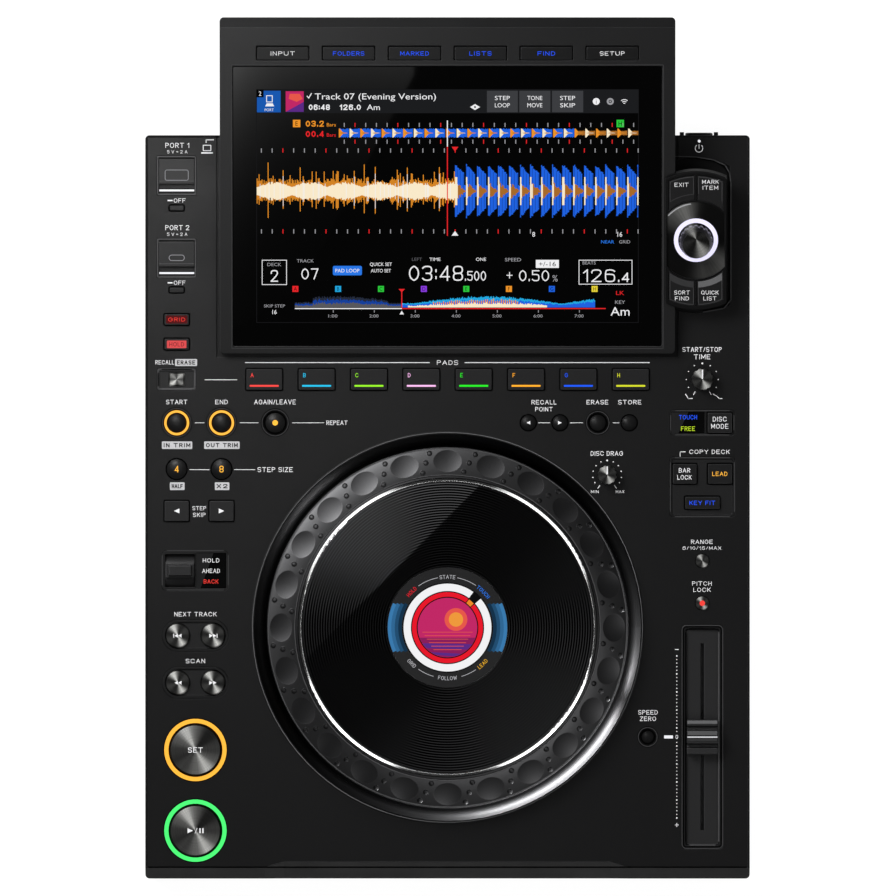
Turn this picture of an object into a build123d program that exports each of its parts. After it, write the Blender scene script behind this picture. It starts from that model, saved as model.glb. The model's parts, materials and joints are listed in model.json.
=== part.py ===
from build123d import *
import math
import os

# A tabletop disc-jockey media player: a low case with a deck of keys, a large jog wheel, a tempo slider,
# and a sloping display unit that overhangs the rear socket panel.
# Millimetres. +X right, +Y to the rear, +Z up. The origin is on the table, under the middle of the outline.

os.makedirs("parts", exist_ok=True)

# ------------------------------------------------------------------ driving dimensions: case
SIDE_STRIP = 59.2             # skirt of the jog wheel to the side walls
REAR_STRIP = 22.0             # rearmost USB well's middle to the rear wall
FOOT_HEIGHT = 6.0
CASE_HEIGHT = 66.0            # underside of the case to the top of the deck
CORNER = 2.3
WALL = 3.0
FRONT_WALL = 7.0
SCOOP_WALL = 12.0             # the front wall is thicker behind the scoop
FLOOR_T = 2.0
FLOOR_INSET = 1.5
PANEL_T = 3.0
RIM = 1.15                    # case rim left showing round the top panel
SEAM = 0.15                   # gap between the rim and the top panel
BOSS = 9.0                    # square corner bosses that carry the top panel
BOARD_DROP = 9.0              # deck underside to the top of the main board
BOARD_T = 1.6
POST_SIDE = 49.5              # side walls to the outer posts under the board
POST_FRONT = 30.0
POST_REAR = 255.0
FRONT_SCREW_X = 80.0
MIDDLE_POST_X = -20.0

# the front apron: a sloping front edge with a wider scoop in the middle
APRON_REACH = 5.9
APRON_DROP = 10.0
SCOOP_REACH = 9.1
SCOOP_DROP = 16.0
SCOOP_HALF = 89.2
SCOOP_BLEND = 10.2
APRON_LAND = 0.4

# ------------------------------------------------------------------ driving dimensions: display unit
TILT = 12.0
DISPLAY_INSET = 40.7          # side walls to the sides of the display unit
DISPLAY_LENGTH = 182.5        # in plan; the rear part overhangs the rear wall
DISPLAY_BEHIND = 14.1         # row of hot cue keys to the front edge of the display unit
DISPLAY_LIP = 6.5             # front top edge of the display unit above the deck
DISPLAY_GAP = 2.0             # groove left round the display unit
LEDGE_DROP = 1.5              # the ledge that it stands on, below the deck
CABLE_OPENING = (40.0, 18.0)
CABLE_SETBACK = 70.0
BOARD_OVERLAP = 10.0          # how far the main board runs on under the display unit
BEZEL_T = 6.0
BACK_BEVEL = 5.5
BACK_BEVEL_DROP = 3.0
COVER_WALL = 2.0
COVER_REAR = 6.0
COVER_RISE = 12.0
GLASS_SIDE = 7.2              # sides of the display unit to the glass
GLASS_MARGIN = 4.0            # its front edge to the glass
MENU_STRIP = 21.754           # glass to the top of the sloping face
GLASS_T = 2.0
GLASS_LEDGE = 4.0
LCD_T = 6.0
LCD_MARGIN = 9.0
MENU_KEY = (28.3, 7.4)
MENU_SIDE = 34.3              # sides of the display unit to the middle of the outer menu keys
MENU_COUNT = 6
MENU_DOWN = 14.254            # top of the sloping face to the menu keys

# ------------------------------------------------------------------ driving dimensions: jog wheel
PLATE_R = 78.9
TRIM_GAP = 0.3
TRIM_WIDTH = 2.3
RIM_GAP = 1.2                 # trim ring to the dimpled rim
RIM_WIDTH = 15.8
SKIRT_FLARE = 6.8             # outer edge of the rim to the foot of the skirt
JOG_DISPLAY_R = 33.0
POST_SIDE_STEP = 3.0          # bearing post inside the jog display, and the hub outside it
POST_THICKNESS = 10.0
JOG_BEHIND = 6.1              # skirt of the jog wheel to the row of loop keys
RIM_TOP = 16.6                # above the deck
CROWN = 0.75
PLATE_T = 3.0
WEB_T = 3.0
WEB_TOP = 12.0
DIMPLES = 24
DIMPLE_R = 26.0               # radius of the sphere that hollows a dimple
DIMPLE_DEPTH = 1.2
NUB_R = 1.5
NUB_HEIGHT = 0.5
NUB_ROOT = 1.2                # how far a nub is rooted below the crown
NUB_SHIFTS = (4.5, -0.3, -5.3)  # rows of nubs from the middle of the rim
NUB_SLANT = 1.6               # degrees from one nub of a row to the next
SPIN_CLEARANCE = 0.05

# ------------------------------------------------------------------ driving dimensions: controls
KEY_GAP = 0.45
KEY_EDGE = 0.4
KEY_RISE = 1.8
FLANGE = 0.9
FLANGE_T = 1.0
FLANGE_DROP = 0.3
STEM_R = 1.6
STEM_GAP = 1.5                # stem end above the main board, for its switch and its travel
SWITCH_SIZE = 6.0
SWITCH_T = 0.3
GROOVE = 0.3                  # fine seams round the frames

LEFT_INSET = 17.1             # left wall to the first column of keys
COLUMN_PITCH = 24.4
TRANSPORT_INSET = 27.3
SEARCH_PITCH = 19.1
RIGHT_INSET = 25.8
HOT_CUE_PITCH = 28.5
HOT_CUES = 8

# rows of controls: the first from the front edge of the case, the others from row to row
PLAY_ROW = 26.2
CUE_ROW = PLAY_ROW + 43.9
SEARCH_ROW = CUE_ROW + 36.6
TRACK_ROW = SEARCH_ROW + 25.6
DIRECTION_ROW = TRACK_ROW + 35.4
BEAT_JUMP_ROW = DIRECTION_ROW + 32.5
BEAT_LOOP_ROW = BEAT_JUMP_ROW + 22.8
LOOP_ROW = BEAT_LOOP_ROW + 25.2
HOT_CUE_ROW = LOOP_ROW + 23.6
SLIP_ROW = HOT_CUE_ROW + 19.2
QUANTIZE_ROW = SLIP_ROW + 13.4
STOP_2_ROW = QUANTIZE_ROW + 16.1
USB_2_ROW = STOP_2_ROW + 17.2
STOP_1_ROW = USB_2_ROW + 27.4
USB_1_ROW = STOP_1_ROW + 17.6
SYNC_ROW = LOOP_ROW - 27.8
KEY_SYNC_ROW = SYNC_ROW - 15.8
SYNC_FRAME_ROW = LOOP_ROW - 35.0
JOG_FEEL_ROW = LOOP_ROW - 28.4
TEMPO_RANGE_ROW = LOOP_ROW - 75.2
MASTER_TEMPO_ROW = TEMPO_RANGE_ROW - 23.0
SLIDER_ROW = MASTER_TEMPO_ROW - 72.8

HOT_CUE_KEY = (19.8, 11.6)
CALL_KEY = (7.6, 6.4)
CALL_FRAME = (21.5, 12.4)
CALL_WELL = (18.9, 9.6)
SMALL_KEY = (13.6, 6.2)
STOP_KEY = (7.8, 2.8)
JUMP_KEY = (13.4, 11.2)
JOG_MODE_KEY = (13.4, 11.2)
SYNC_KEY = (13.2, 11.0)
KEY_SYNC_KEY = (19.0, 7.0)
LOOP_DOME_R = 4.75
RELOOP_R = 5.3
BEAT_DOME_R = 5.4
ARROW_DOME_R = 4.1
DELETE_R = 4.3
TEMPO_KEY_R = 3.7
RESET_R = 3.3
SEARCH_R = 6.4
TRANSPORT_R = 13.9
DOME = 1.5
RING_GAP = 0.3
RING_WIDTH = 1.7
TRANSPORT_RING = (TRANSPORT_R + 0.8, TRANSPORT_R + 3.1)
RELOOP_PITCH = 29.2
MEMORY_OFFSET = -39.8         # from the right column
DELETE_PITCH = 17.1
ARROW_PITCH = 17.2
ARROWS_TO_DELETE = 20.6
JOG_FEEL_OFFSET = -51.8
RESET_OFFSET = -29.7
ZERO_LAMP_OFFSET = -18.4
ZERO_LAMP = (4.8, 1.6)
POWER_LAMP_R = 0.8
POWER_LAMP_INSET = 3.2        # rear wall's outer face to the power lamp

DIRECTION_FRAME = (36.4, 22.2)
DIRECTION_OFFSET = 10.0       # the frame's middle from the first column
LEVER_OFFSET = 1.8
DRUM_R = 10.5
DRUM_DROP = 10.5
LEVER_PIN_R = 1.5
LUG_T = 2.0
PADDLE_BASE = (15.2, 7.7)
LEVER_WELL = (PADDLE_BASE[0] + 1.2, 18.0)
PADDLE_TIP = (11.5, 4.7)
PADDLE_TOP = 5.5
DIRECTION_WINDOW = (16.8, 19.4)
DIRECTION_WINDOW_OFFSET = 18.7
SEARCH_WELL = (SEARCH_PITCH + 2 * SEARCH_R + 1.3, 2 * SEARCH_R + 1.8)
SEARCH_FRAME = (SEARCH_WELL[0] + 3.2, SEARCH_WELL[1] + 3.1)
WELL_DEPTH = 0.8

JOG_MODE_FRAME = (35.4, 14.2)
JOG_MODE_WINDOW = (18.3, 11.8)
JOG_MODE_WINDOW_OFFSET = -7.8
JOG_MODE_KEY_OFFSET = 9.5
SYNC_FRAME = (35.9, 33.1)
SYNC_WELL = (33.3, 30.5)
SYNC_SPREAD = 19.2
WINDOW_T = 2.2
WINDOW_DROP = 0.3

SLIDER_TRAVEL = 47.7
CAP = (16.7, 18.9)
CAP_HEIGHT = 12.0
BLADE = (1.2, 5.4)
SLIDER_WELL = (CAP[0] + 1.9, 2 * SLIDER_TRAVEL + CAP[1] + 3.7)
SLIDER_WELL_DEPTH = 2.0
SLIDER_FRAME = (SLIDER_WELL[0] + 4.3, SLIDER_WELL[1] + 4.5)
SLIDER_SLOT = (BLADE[0] + 0.7, 2 * SLIDER_TRAVEL + BLADE[1] + 0.9)
FADER_BODY = (12.0, SLIDER_SLOT[1] + 10.3, 11.0)

KNOB_FLUTES = 12
VINYL_KNOB_R = 6.0
FEEL_KNOB_R = 5.25
KNOB_HEIGHT = 8.5
KNOB_SHAFT_R = 3.0

USB_WELL = 19.8
USB_FRAME = USB_WELL + 2.2
USB_WELL_DEPTH = 2.5
LID = (USB_WELL - 0.6, 12.0)
LID_T = 1.6
LID_REACH = USB_WELL / 2 - 1.1  # lid pin behind the middle of its well
LID_LIP = 0.9
LID_PIN_R = 0.6
USB_BAR = (USB_WELL - 0.8, 2.0)
USB_BAR_OFFSET = 1.9 - USB_WELL / 2
USB_SHELL = (14.6, 7.2)
USB_MOUTH = (12.5, 5.1)
USB_C_SHELL = (10.4, 4.7)
USB_C_MOUTH = (9.0, 3.3)
USB_DEPTH = 13.0

# ------------------------------------------------------------------ driving dimensions: selector pod
POD_INSET = 29.4              # right wall to the selector's axis
POD_UP = 63.4                 # up the display slope
POD_R = 38.5
POD_WIDTH = 33.1
POD_T = 3.0
POD_SKIRT = 4.0
POD_WALL = 2.0
POD_WELL_R = POD_R + 3.7
POD_WELL_SHIFT = 2.1
POD_WELL_DEPTH = 2.0
POD_WELL_HALF = POD_WIDTH / 2 + 2.15
DIAL_R = 21.4
DIAL_WIDTH = POD_WIDTH - 1.7
DIAL_DROP = 0.8
POD_KEY = (DIAL_R + 1.0, POD_R - 2.5)  # inner and outer radius of the four keys
POD_KEY_SPAN = (0.85, POD_WIDTH / 2 - 1.95)  # their inner and outer edges from the middle line
POD_KEY_T = 2.0
POD_KEY_RISE = 0.6
SELECTOR_R = 9.0
SELECTOR_TIP_R = 7.3
SELECTOR_HEIGHT = 11.5
SELECTOR_RING = (SELECTOR_R + 0.7, SELECTOR_R + 3.0)
SELECTOR_FLUTES = 18
SELECTOR_SHAFT_R = 3.0
SELECTOR_BOSS_R = 6.0
SELECTOR_BOSS = 5.0
PUSH = 0.6

# ------------------------------------------------------------------ driving dimensions: rear
REAR_WINDOW_SIDE = 9.5        # side walls to the window for the socket panel
REAR_WINDOW_FOOT = 6.0
REAR_WINDOW_HEAD = 7.0
REAR_PANEL_LAP = 3.0
REAR_PANEL_T = 2.0
POWER_INSET = 27.5            # right wall to the power button
INLET_PITCH = 42.0            # from socket to socket, from the right
LAN_PITCH = 55.0
USB_B_PITCH = 28.0
DIGITAL_PITCH = 34.0
CONTROL_PITCH = 26.0
PHONO_PITCHES = (30.0, 50.0)
VENT_SLOT = (18.0, 2.4)
VENT_PITCH = 6.0
SUPPLY = (130.0, 84.0)
SUPPLY_GAP = 33.0
SUPPLY_REACH = 25.0           # how far the power supply runs past the mains inlet
POWER_BUTTON = (15.0, 7.0)
POWER_RISE = 10.0             # power button above the row of sockets
POWER_PROUD = 1.6
GUARD_SPAN = 18.6
GUARD_R = 1.2

# ------------------------------------------------------------------ derived places
RIM_INNER_R = PLATE_R + TRIM_GAP + TRIM_WIDTH + RIM_GAP
RIM_R = RIM_INNER_R + RIM_WIDTH
RIM_MIDDLE_R = (RIM_R + RIM_INNER_R) / 2
SKIRT_R = RIM_R + SKIRT_FLARE
HUB_R = JOG_DISPLAY_R + POST_SIDE_STEP
POST_R = JOG_DISPLAY_R - POST_SIDE_STEP
POST_BORE = POST_R - POST_THICKNESS

WIDTH = 2 * (SKIRT_R + SIDE_STRIP)
JOG_SETBACK = LOOP_ROW - JOG_BEHIND - SKIRT_R
DISPLAY_SETBACK = HOT_CUE_ROW + DISPLAY_BEHIND
DECK_DEPTH = USB_1_ROW + REAR_STRIP
DEPTH = DISPLAY_SETBACK + DISPLAY_LENGTH
LEFT = -WIDTH / 2
RIGHT = WIDTH / 2
FRONT = -DEPTH / 2
REAR = DEPTH / 2
DECK_REAR = FRONT + DECK_DEPTH
CASE_BOTTOM = FOOT_HEIGHT
FLOOR_TOP = CASE_BOTTOM + FLOOR_T
PANEL_TOP = CASE_BOTTOM + CASE_HEIGHT
PANEL_BOTTOM = PANEL_TOP - PANEL_T
BOARD_TOP = PANEL_BOTTOM - BOARD_DROP
DECK = Plane.XY.offset(PANEL_TOP)

SIN = math.sin(math.radians(TILT))
COS = math.cos(math.radians(TILT))
RISE = math.tan(math.radians(TILT))
FACE_LENGTH = (DISPLAY_LENGTH - BACK_BEVEL) / COS
DISPLAY_WIDTH = WIDTH - 2 * DISPLAY_INSET
GLASS_WIDTH = DISPLAY_WIDTH - 2 * GLASS_SIDE
GLASS_LENGTH = FACE_LENGTH - GLASS_MARGIN - MENU_STRIP
MENU_PITCH = (DISPLAY_WIDTH - 2 * MENU_SIDE) / (MENU_COUNT - 1)
MENU_ROW = FACE_LENGTH - MENU_DOWN
DISPLAY_FRONT = FRONT + DISPLAY_SETBACK
LEDGE_Z = PANEL_TOP - LEDGE_DROP


def slope_z(y):
    """Height of the display unit's face over a place on the deck."""
    return PANEL_TOP + DISPLAY_LIP + (y - DISPLAY_FRONT) * RISE


# the display unit's face: local x to the right, local y up the slope, z out of the face
FACE = Plane(origin=(0, DISPLAY_FRONT, slope_z(DISPLAY_FRONT)), x_dir=(1, 0, 0), z_dir=(0, -SIN, COS))
POD_X = RIGHT - POD_INSET
POD_Y = DISPLAY_FRONT + POD_UP * COS
DISPLAY_SIDE = DISPLAY_WIDTH / 2
POD_FOOT_X = DISPLAY_SIDE + 0.3

JOG_Y = FRONT + JOG_SETBACK
JOG_AXIS = Axis((0, JOG_Y, 0), (0, 0, 1))
JOG_SECTION = Plane(origin=(0, JOG_Y, PANEL_TOP), x_dir=(1, 0, 0), z_dir=(0, -1, 0))

COLUMN_1 = LEFT + LEFT_INSET
COLUMN_2 = COLUMN_1 + COLUMN_PITCH
TRANSPORT_X = LEFT + TRANSPORT_INSET
COLUMN_R = RIGHT - RIGHT_INSET
RELOOP_X = COLUMN_2 + RELOOP_PITCH
MEMORY_X = COLUMN_R + MEMORY_OFFSET
DELETE_X = MEMORY_X - DELETE_PITCH
ARROW_RIGHT_X = DELETE_X - ARROWS_TO_DELETE
ARROW_LEFT_X = ARROW_RIGHT_X - ARROW_PITCH
JOG_FEEL_X = COLUMN_R + JOG_FEEL_OFFSET
RESET_X = COLUMN_R + RESET_OFFSET
ZERO_LAMP_X = COLUMN_R + ZERO_LAMP_OFFSET

REAR_WINDOW_LOW = FLOOR_TOP + REAR_WINDOW_FOOT
REAR_WINDOW_HIGH = PANEL_BOTTOM - REAR_WINDOW_HEAD
REAR_WINDOW = (WIDTH - 2 * REAR_WINDOW_SIDE, REAR_WINDOW_HIGH - REAR_WINDOW_LOW)
REAR_WINDOW_Z = (REAR_WINDOW_LOW + REAR_WINDOW_HIGH) / 2
SOCKET_Z = REAR_WINDOW_Z
POWER_Z = SOCKET_Z + POWER_RISE
POWER_X = RIGHT - POWER_INSET
INLET_X = POWER_X - INLET_PITCH
LAN_X = INLET_X - LAN_PITCH
USB_B_X = LAN_X - USB_B_PITCH
DIGITAL_X = USB_B_X - DIGITAL_PITCH
CONTROL_X = DIGITAL_X - CONTROL_PITCH
PHONO_XS = [CONTROL_X - pitch for pitch in PHONO_PITCHES]
VENTS = [(PHONO_XS[1] - 32, 6), (INLET_X - 27.5, 4)]
DIRECTION_X = COLUMN_1 + DIRECTION_OFFSET
LEVER_X = COLUMN_1 + LEVER_OFFSET
DIRECTION_WINDOW_X = COLUMN_1 + DIRECTION_WINDOW_OFFSET
SEARCH_XS = (TRANSPORT_X - SEARCH_PITCH / 2, TRANSPORT_X + SEARCH_PITCH / 2)

PLAY = (TRANSPORT_X, FRONT + PLAY_ROW)
CUE = (TRANSPORT_X, FRONT + CUE_ROW)
SEARCH = [(x, FRONT + SEARCH_ROW) for x in SEARCH_XS]
TRACK = [(x, FRONT + TRACK_ROW) for x in SEARCH_XS]
LEVER = (LEVER_X, FRONT + DIRECTION_ROW)
BEAT_JUMP = [(x, FRONT + BEAT_JUMP_ROW) for x in (COLUMN_1, COLUMN_2)]
BEAT_LOOP = [(x, FRONT + BEAT_LOOP_ROW) for x in (COLUMN_1, COLUMN_2)]
LOOP_IN = (COLUMN_1, FRONT + LOOP_ROW)
LOOP_OUT = (COLUMN_2, FRONT + LOOP_ROW)
RELOOP = (RELOOP_X, FRONT + LOOP_ROW)
ARROWS = [(ARROW_LEFT_X, FRONT + LOOP_ROW), (ARROW_RIGHT_X, FRONT + LOOP_ROW)]
DELETE = (DELETE_X, FRONT + LOOP_ROW)
MEMORY = (MEMORY_X, FRONT + LOOP_ROW)
CALL = (COLUMN_1, FRONT + HOT_CUE_ROW)
HOT_CUE = [((i - (HOT_CUES - 1) / 2) * HOT_CUE_PITCH, FRONT + HOT_CUE_ROW) for i in range(HOT_CUES)]
SLIP = (COLUMN_1, FRONT + SLIP_ROW)
QUANTIZE = (COLUMN_1, FRONT + QUANTIZE_ROW)
STOPS = [(COLUMN_1, FRONT + STOP_1_ROW), (COLUMN_1, FRONT + STOP_2_ROW)]
USB_WELLS = [(COLUMN_1, FRONT + USB_1_ROW), (COLUMN_1, FRONT + USB_2_ROW)]
VINYL_KNOB = (COLUMN_R, FRONT + HOT_CUE_ROW)
FEEL_KNOB = (JOG_FEEL_X, FRONT + JOG_FEEL_ROW)
JOG_MODE = (COLUMN_R + JOG_MODE_KEY_OFFSET, FRONT + LOOP_ROW)
JOG_MODE_PANE = (COLUMN_R + JOG_MODE_WINDOW_OFFSET, FRONT + LOOP_ROW)
SYNC = [(COLUMN_R + side * SYNC_SPREAD / 2, FRONT + SYNC_ROW) for side in (-1, 1)]
KEY_SYNC = (COLUMN_R, FRONT + KEY_SYNC_ROW)
TEMPO_KEYS = [(COLUMN_R, FRONT + TEMPO_RANGE_ROW), (COLUMN_R, FRONT + MASTER_TEMPO_ROW)]
SLIDER = (COLUMN_R, FRONT + SLIDER_ROW)
RESET = (RESET_X, FRONT + SLIDER_ROW)
ZERO_LAMP_PLACE = (ZERO_LAMP_X, FRONT + SLIDER_ROW)
POWER_LAMP = (POWER_X, DECK_REAR - POWER_LAMP_INSET)
POWER_LAMP_DEPTH = 1.0
MENU = [((i - (MENU_COUNT - 1) / 2) * MENU_PITCH, MENU_ROW) for i in range(MENU_COUNT)]


def grown(size, by):
    """A width and depth, larger all round by a margin."""
    return size[0] + 2 * by, size[1] + 2 * by


def save(part, name):
    part.label = name
    export_step(part, f"parts/{name}.step")


def deck_outline(inset):
    """Outline of the top of the case, inset from its outer faces; the front edge follows the apron."""
    side = RIGHT - inset
    rear = DECK_REAR - inset
    lip = APRON_LAND + inset - RIM
    edge = FRONT + APRON_REACH + lip
    scoop = FRONT + SCOOP_REACH + lip
    outer = SCOOP_HALF + SCOOP_BLEND
    return [
        (-side, rear), (-side, edge), (-outer, edge), (-SCOOP_HALF, scoop),
        (SCOOP_HALF, scoop), (outer, edge), (side, edge), (side, rear),
    ]


# ------------------------------------------------------------------ keys
STEM_END = BOARD_TOP + STEM_GAP - PANEL_TOP
CAP_BOTTOM = -PANEL_T - FLANGE_DROP


def flat_key(size, rise=KEY_RISE, corner=0.8, flange_top=CAP_BOTTOM, stem_end=STEM_END, edge=KEY_EDGE):
    """A rectangular key about its own middle, with z = 0 at the surface that it stands in."""
    with BuildPart() as key:
        with BuildSketch(Plane.XY.offset(flange_top)):
            RectangleRounded(size[0], size[1], corner)
        extrude(amount=rise - flange_top)
        chamfer(key.faces().sort_by(Axis.Z)[-1].edges(), edge)
        with BuildSketch(Plane.XY.offset(flange_top)):
            Rectangle(*grown(size, FLANGE))
        extrude(amount=-FLANGE_T)
        with BuildSketch(Plane.XY.offset(flange_top - FLANGE_T)):
            Circle(STEM_R if size[1] > 2 * STEM_R else size[1] / 2)
        extrude(amount=stem_end - flange_top + FLANGE_T)
    return key.part


def round_key(radius, rise, dome, flange_top=CAP_BOTTOM, stem_end=STEM_END):
    """A round key with a domed top: the dome's middle stands `dome` above its edge."""
    sphere = (radius**2 + dome**2) / (2 * dome)
    middle = rise + dome - sphere
    half = radius / 2
    with BuildPart() as key:
        with BuildSketch(Plane.XZ):
            with BuildLine():
                ThreePointArc(
                    (0, rise + dome), (half, middle + math.sqrt(sphere**2 - half**2)), (radius, rise)
                )
                Polyline(
                    (radius, rise), (radius, flange_top), (radius + FLANGE, flange_top),
                    (radius + FLANGE, flange_top - FLANGE_T), (STEM_R, flange_top - FLANGE_T),
                    (STEM_R, stem_end), (0, stem_end), (0, rise + dome),
                )
            make_face()
        revolve(axis=Axis.Z)
    return key.part


def flat_round_key(radius, rise, edge=0.5, flange_top=CAP_BOTTOM, stem_end=STEM_END):
    """A round key with a flat, turned top and a bevelled edge."""
    with BuildPart() as key:
        with BuildSketch(Plane.XZ):
            with BuildLine():
                Polyline(
                    (0, rise), (radius - edge, rise), (radius, rise - edge), (radius, flange_top),
                    (radius + FLANGE, flange_top), (radius + FLANGE, flange_top - FLANGE_T),
                    (STEM_R, flange_top - FLANGE_T), (STEM_R, stem_end), (0, stem_end), close=True,
                )
            make_face()
        revolve(axis=Axis.Z)
    return key.part


def placed(shape, places, z=PANEL_TOP):
    """Copies of a shape, one at each place on the deck, as one moulding."""
    with BuildPart() as group:
        with Locations(*[(x, y, z) for x, y in places]):
            add(shape)
    return group.part


# keys inside a light ring keep their flange under the ring's own flange
RINGED_FLANGE = CAP_BOTTOM - FLANGE_T - FLANGE_DROP
KEYS = {
    "quantize_slip_keys": (flat_key(SMALL_KEY), [QUANTIZE, SLIP]),
    "stop_keys": (flat_key(STOP_KEY, rise=0.6, corner=0.5, edge=0.25), STOPS),
    "call_key": (flat_key(CALL_KEY, rise=0.8, corner=0.8), [CALL]),
    "loop_in_key": (round_key(LOOP_DOME_R, 0.6, DOME, RINGED_FLANGE), [LOOP_IN]),
    "loop_out_key": (round_key(LOOP_DOME_R, 0.6, DOME, RINGED_FLANGE), [LOOP_OUT]),
    "reloop_key": (round_key(RELOOP_R, 0.0, DOME), [RELOOP]),
    "cue_loop_call_keys": (round_key(ARROW_DOME_R, 0.7, DOME), ARROWS),
    "delete_key": (round_key(DELETE_R, 0.0, DOME), [DELETE]),
    "memory_key": (round_key(ARROW_DOME_R, 0.7, DOME), [MEMORY]),
    "beat_loop_keys": (round_key(BEAT_DOME_R, 0.7, DOME), BEAT_LOOP),
    "beat_jump_keys": (flat_key(JUMP_KEY), BEAT_JUMP),
    "search_keys": (flat_round_key(SEARCH_R, 1.6), SEARCH + TRACK),
    "cue_key": (flat_round_key(TRANSPORT_R, 2.4, 0.7, RINGED_FLANGE), [CUE]),
    "play_key": (flat_round_key(TRANSPORT_R, 2.4, 0.7, RINGED_FLANGE), [PLAY]),
    "jog_mode_key": (flat_key(JOG_MODE_KEY), [JOG_MODE]),
    "tempo_keys": (flat_round_key(TEMPO_KEY_R, 1.2, 0.4), TEMPO_KEYS),
    "tempo_reset_key": (round_key(RESET_R, -0.4, 1.3), [RESET]),
}
for i, letter in enumerate("abcdefgh"):
    KEYS[f"hot_cue_key_{letter}"] = (flat_key(HOT_CUE_KEY), [HOT_CUE[i]])
for key_name, (key_shape, places) in KEYS.items():
    save(placed(key_shape, places), key_name)

with BuildPart() as sync_keys:
    with Locations(*[(x, y, PANEL_TOP) for x, y in SYNC]):
        add(flat_key(SYNC_KEY))
    with Locations((KEY_SYNC[0], KEY_SYNC[1], PANEL_TOP)):
        add(flat_key(KEY_SYNC_KEY))
save(sync_keys.part, "sync_keys")

with BuildPart() as menu_keys:
    menu_flange = -BEZEL_T * COS - FLANGE_DROP / 2
    menu_key = flat_key(MENU_KEY, rise=0.9, flange_top=menu_flange, stem_end=-GLASS_T - LCD_T + 0.8)
    with Locations(*[FACE.location * Location((x, y, 0)) for x, y in MENU]):
        add(menu_key)
save(menu_keys.part, "menu_keys")

KEY_PLACES = [place for _, places in KEYS.values() for place in places] + SYNC + [KEY_SYNC]

# ------------------------------------------------------------------ bottom plate
BOSS_X = RIGHT - WALL - BOSS / 2
BOSS_YS = (FRONT + FRONT_WALL + BOSS / 2, DECK_REAR - WALL - REAR_PANEL_T - 0.5 - BOSS / 2)
SCREW_PLACES = [(x, y) for x in (-BOSS_X, BOSS_X) for y in BOSS_YS]
SCREW_PLACES += [(x, FRONT + SCOOP_WALL / 2) for x in (-FRONT_SCREW_X, FRONT_SCREW_X)]
SCREW_HOLE_R = 1.6
POST_XS = (LEFT + POST_SIDE, MIDDLE_POST_X, RIGHT - POST_SIDE)
POST_PLACES = [(x, FRONT + y) for x in POST_XS for y in (POST_FRONT, POST_REAR)]
POST_STAND_R = 3.5

with BuildPart() as bottom_plate:
    floor_depth = DECK_DEPTH - 2 * FLOOR_INSET
    with BuildSketch(Plane.XY.offset(CASE_BOTTOM)):
        with Locations((0, (FRONT + DECK_REAR) / 2)):
            RectangleRounded(WIDTH - 2 * FLOOR_INSET, floor_depth, CORNER)
        with Locations(*SCREW_PLACES):
            Circle(SCREW_HOLE_R, mode=Mode.SUBTRACT)
        with Locations((0, JOG_Y)):
            with GridLocations(9, 0, 12, 1):
                SlotOverall(30, 3, rotation=90, mode=Mode.SUBTRACT)
    extrude(amount=FLOOR_T)
save(bottom_plate.part, "bottom_plate")

# ------------------------------------------------------------------ feet and screws
FOOT_R = 11.0
FOOT_TAPER = 1.5
FOOT_INSET = 24.0
with BuildPart() as feet:
    foot_x = RIGHT - FOOT_INSET
    foot_y = DECK_DEPTH / 2 - FOOT_INSET
    with Locations((0, (FRONT + DECK_REAR) / 2, 0)):
        with GridLocations(2 * foot_x, 2 * foot_y, 2, 2):
            Cone(FOOT_R - FOOT_TAPER, FOOT_R, FOOT_HEIGHT, align=(Align.CENTER, Align.CENTER, Align.MIN))
save(feet.part, "feet")

SCREW_R = 1.5
SCREW_HEAD = (2.75, 1.6)
SCREW_LENGTH = 10.0
SOCKET_HEX = 1.3
with BuildPart() as case_screws:
    with Locations(*[(x, y, CASE_BOTTOM) for x, y in SCREW_PLACES]):
        Cylinder(SCREW_R, SCREW_LENGTH, align=(Align.CENTER, Align.CENTER, Align.MIN))
        Cylinder(*SCREW_HEAD, align=(Align.CENTER, Align.CENTER, Align.MAX))
    with BuildSketch(Plane.XY.offset(CASE_BOTTOM - SCREW_HEAD[1])):
        with Locations(*SCREW_PLACES):
            RegularPolygon(SOCKET_HEX, 6)
    extrude(amount=SCREW_HEAD[1] * 0.7, mode=Mode.SUBTRACT)
save(case_screws.part, "case_screws")

# ------------------------------------------------------------------ lower case
with BuildPart() as apron_cut:
    stations = [
        (LEFT - 1, APRON_REACH, APRON_DROP), (-SCOOP_HALF - SCOOP_BLEND, APRON_REACH, APRON_DROP),
        (-SCOOP_HALF, SCOOP_REACH, SCOOP_DROP), (SCOOP_HALF, SCOOP_REACH, SCOOP_DROP),
        (SCOOP_HALF + SCOOP_BLEND, APRON_REACH, APRON_DROP), (RIGHT + 1, APRON_REACH, APRON_DROP),
    ]
    for x, reach, drop in stations:
        with BuildSketch(Plane(origin=(x, FRONT, PANEL_TOP), x_dir=(0, 1, 0), z_dir=(1, 0, 0))):
            with BuildLine():
                Polyline((reach, 0), (reach, 3), (-3, 3), (-3, -drop), (0, -drop), close=True)
            make_face()
    loft(ruled=True)

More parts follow.
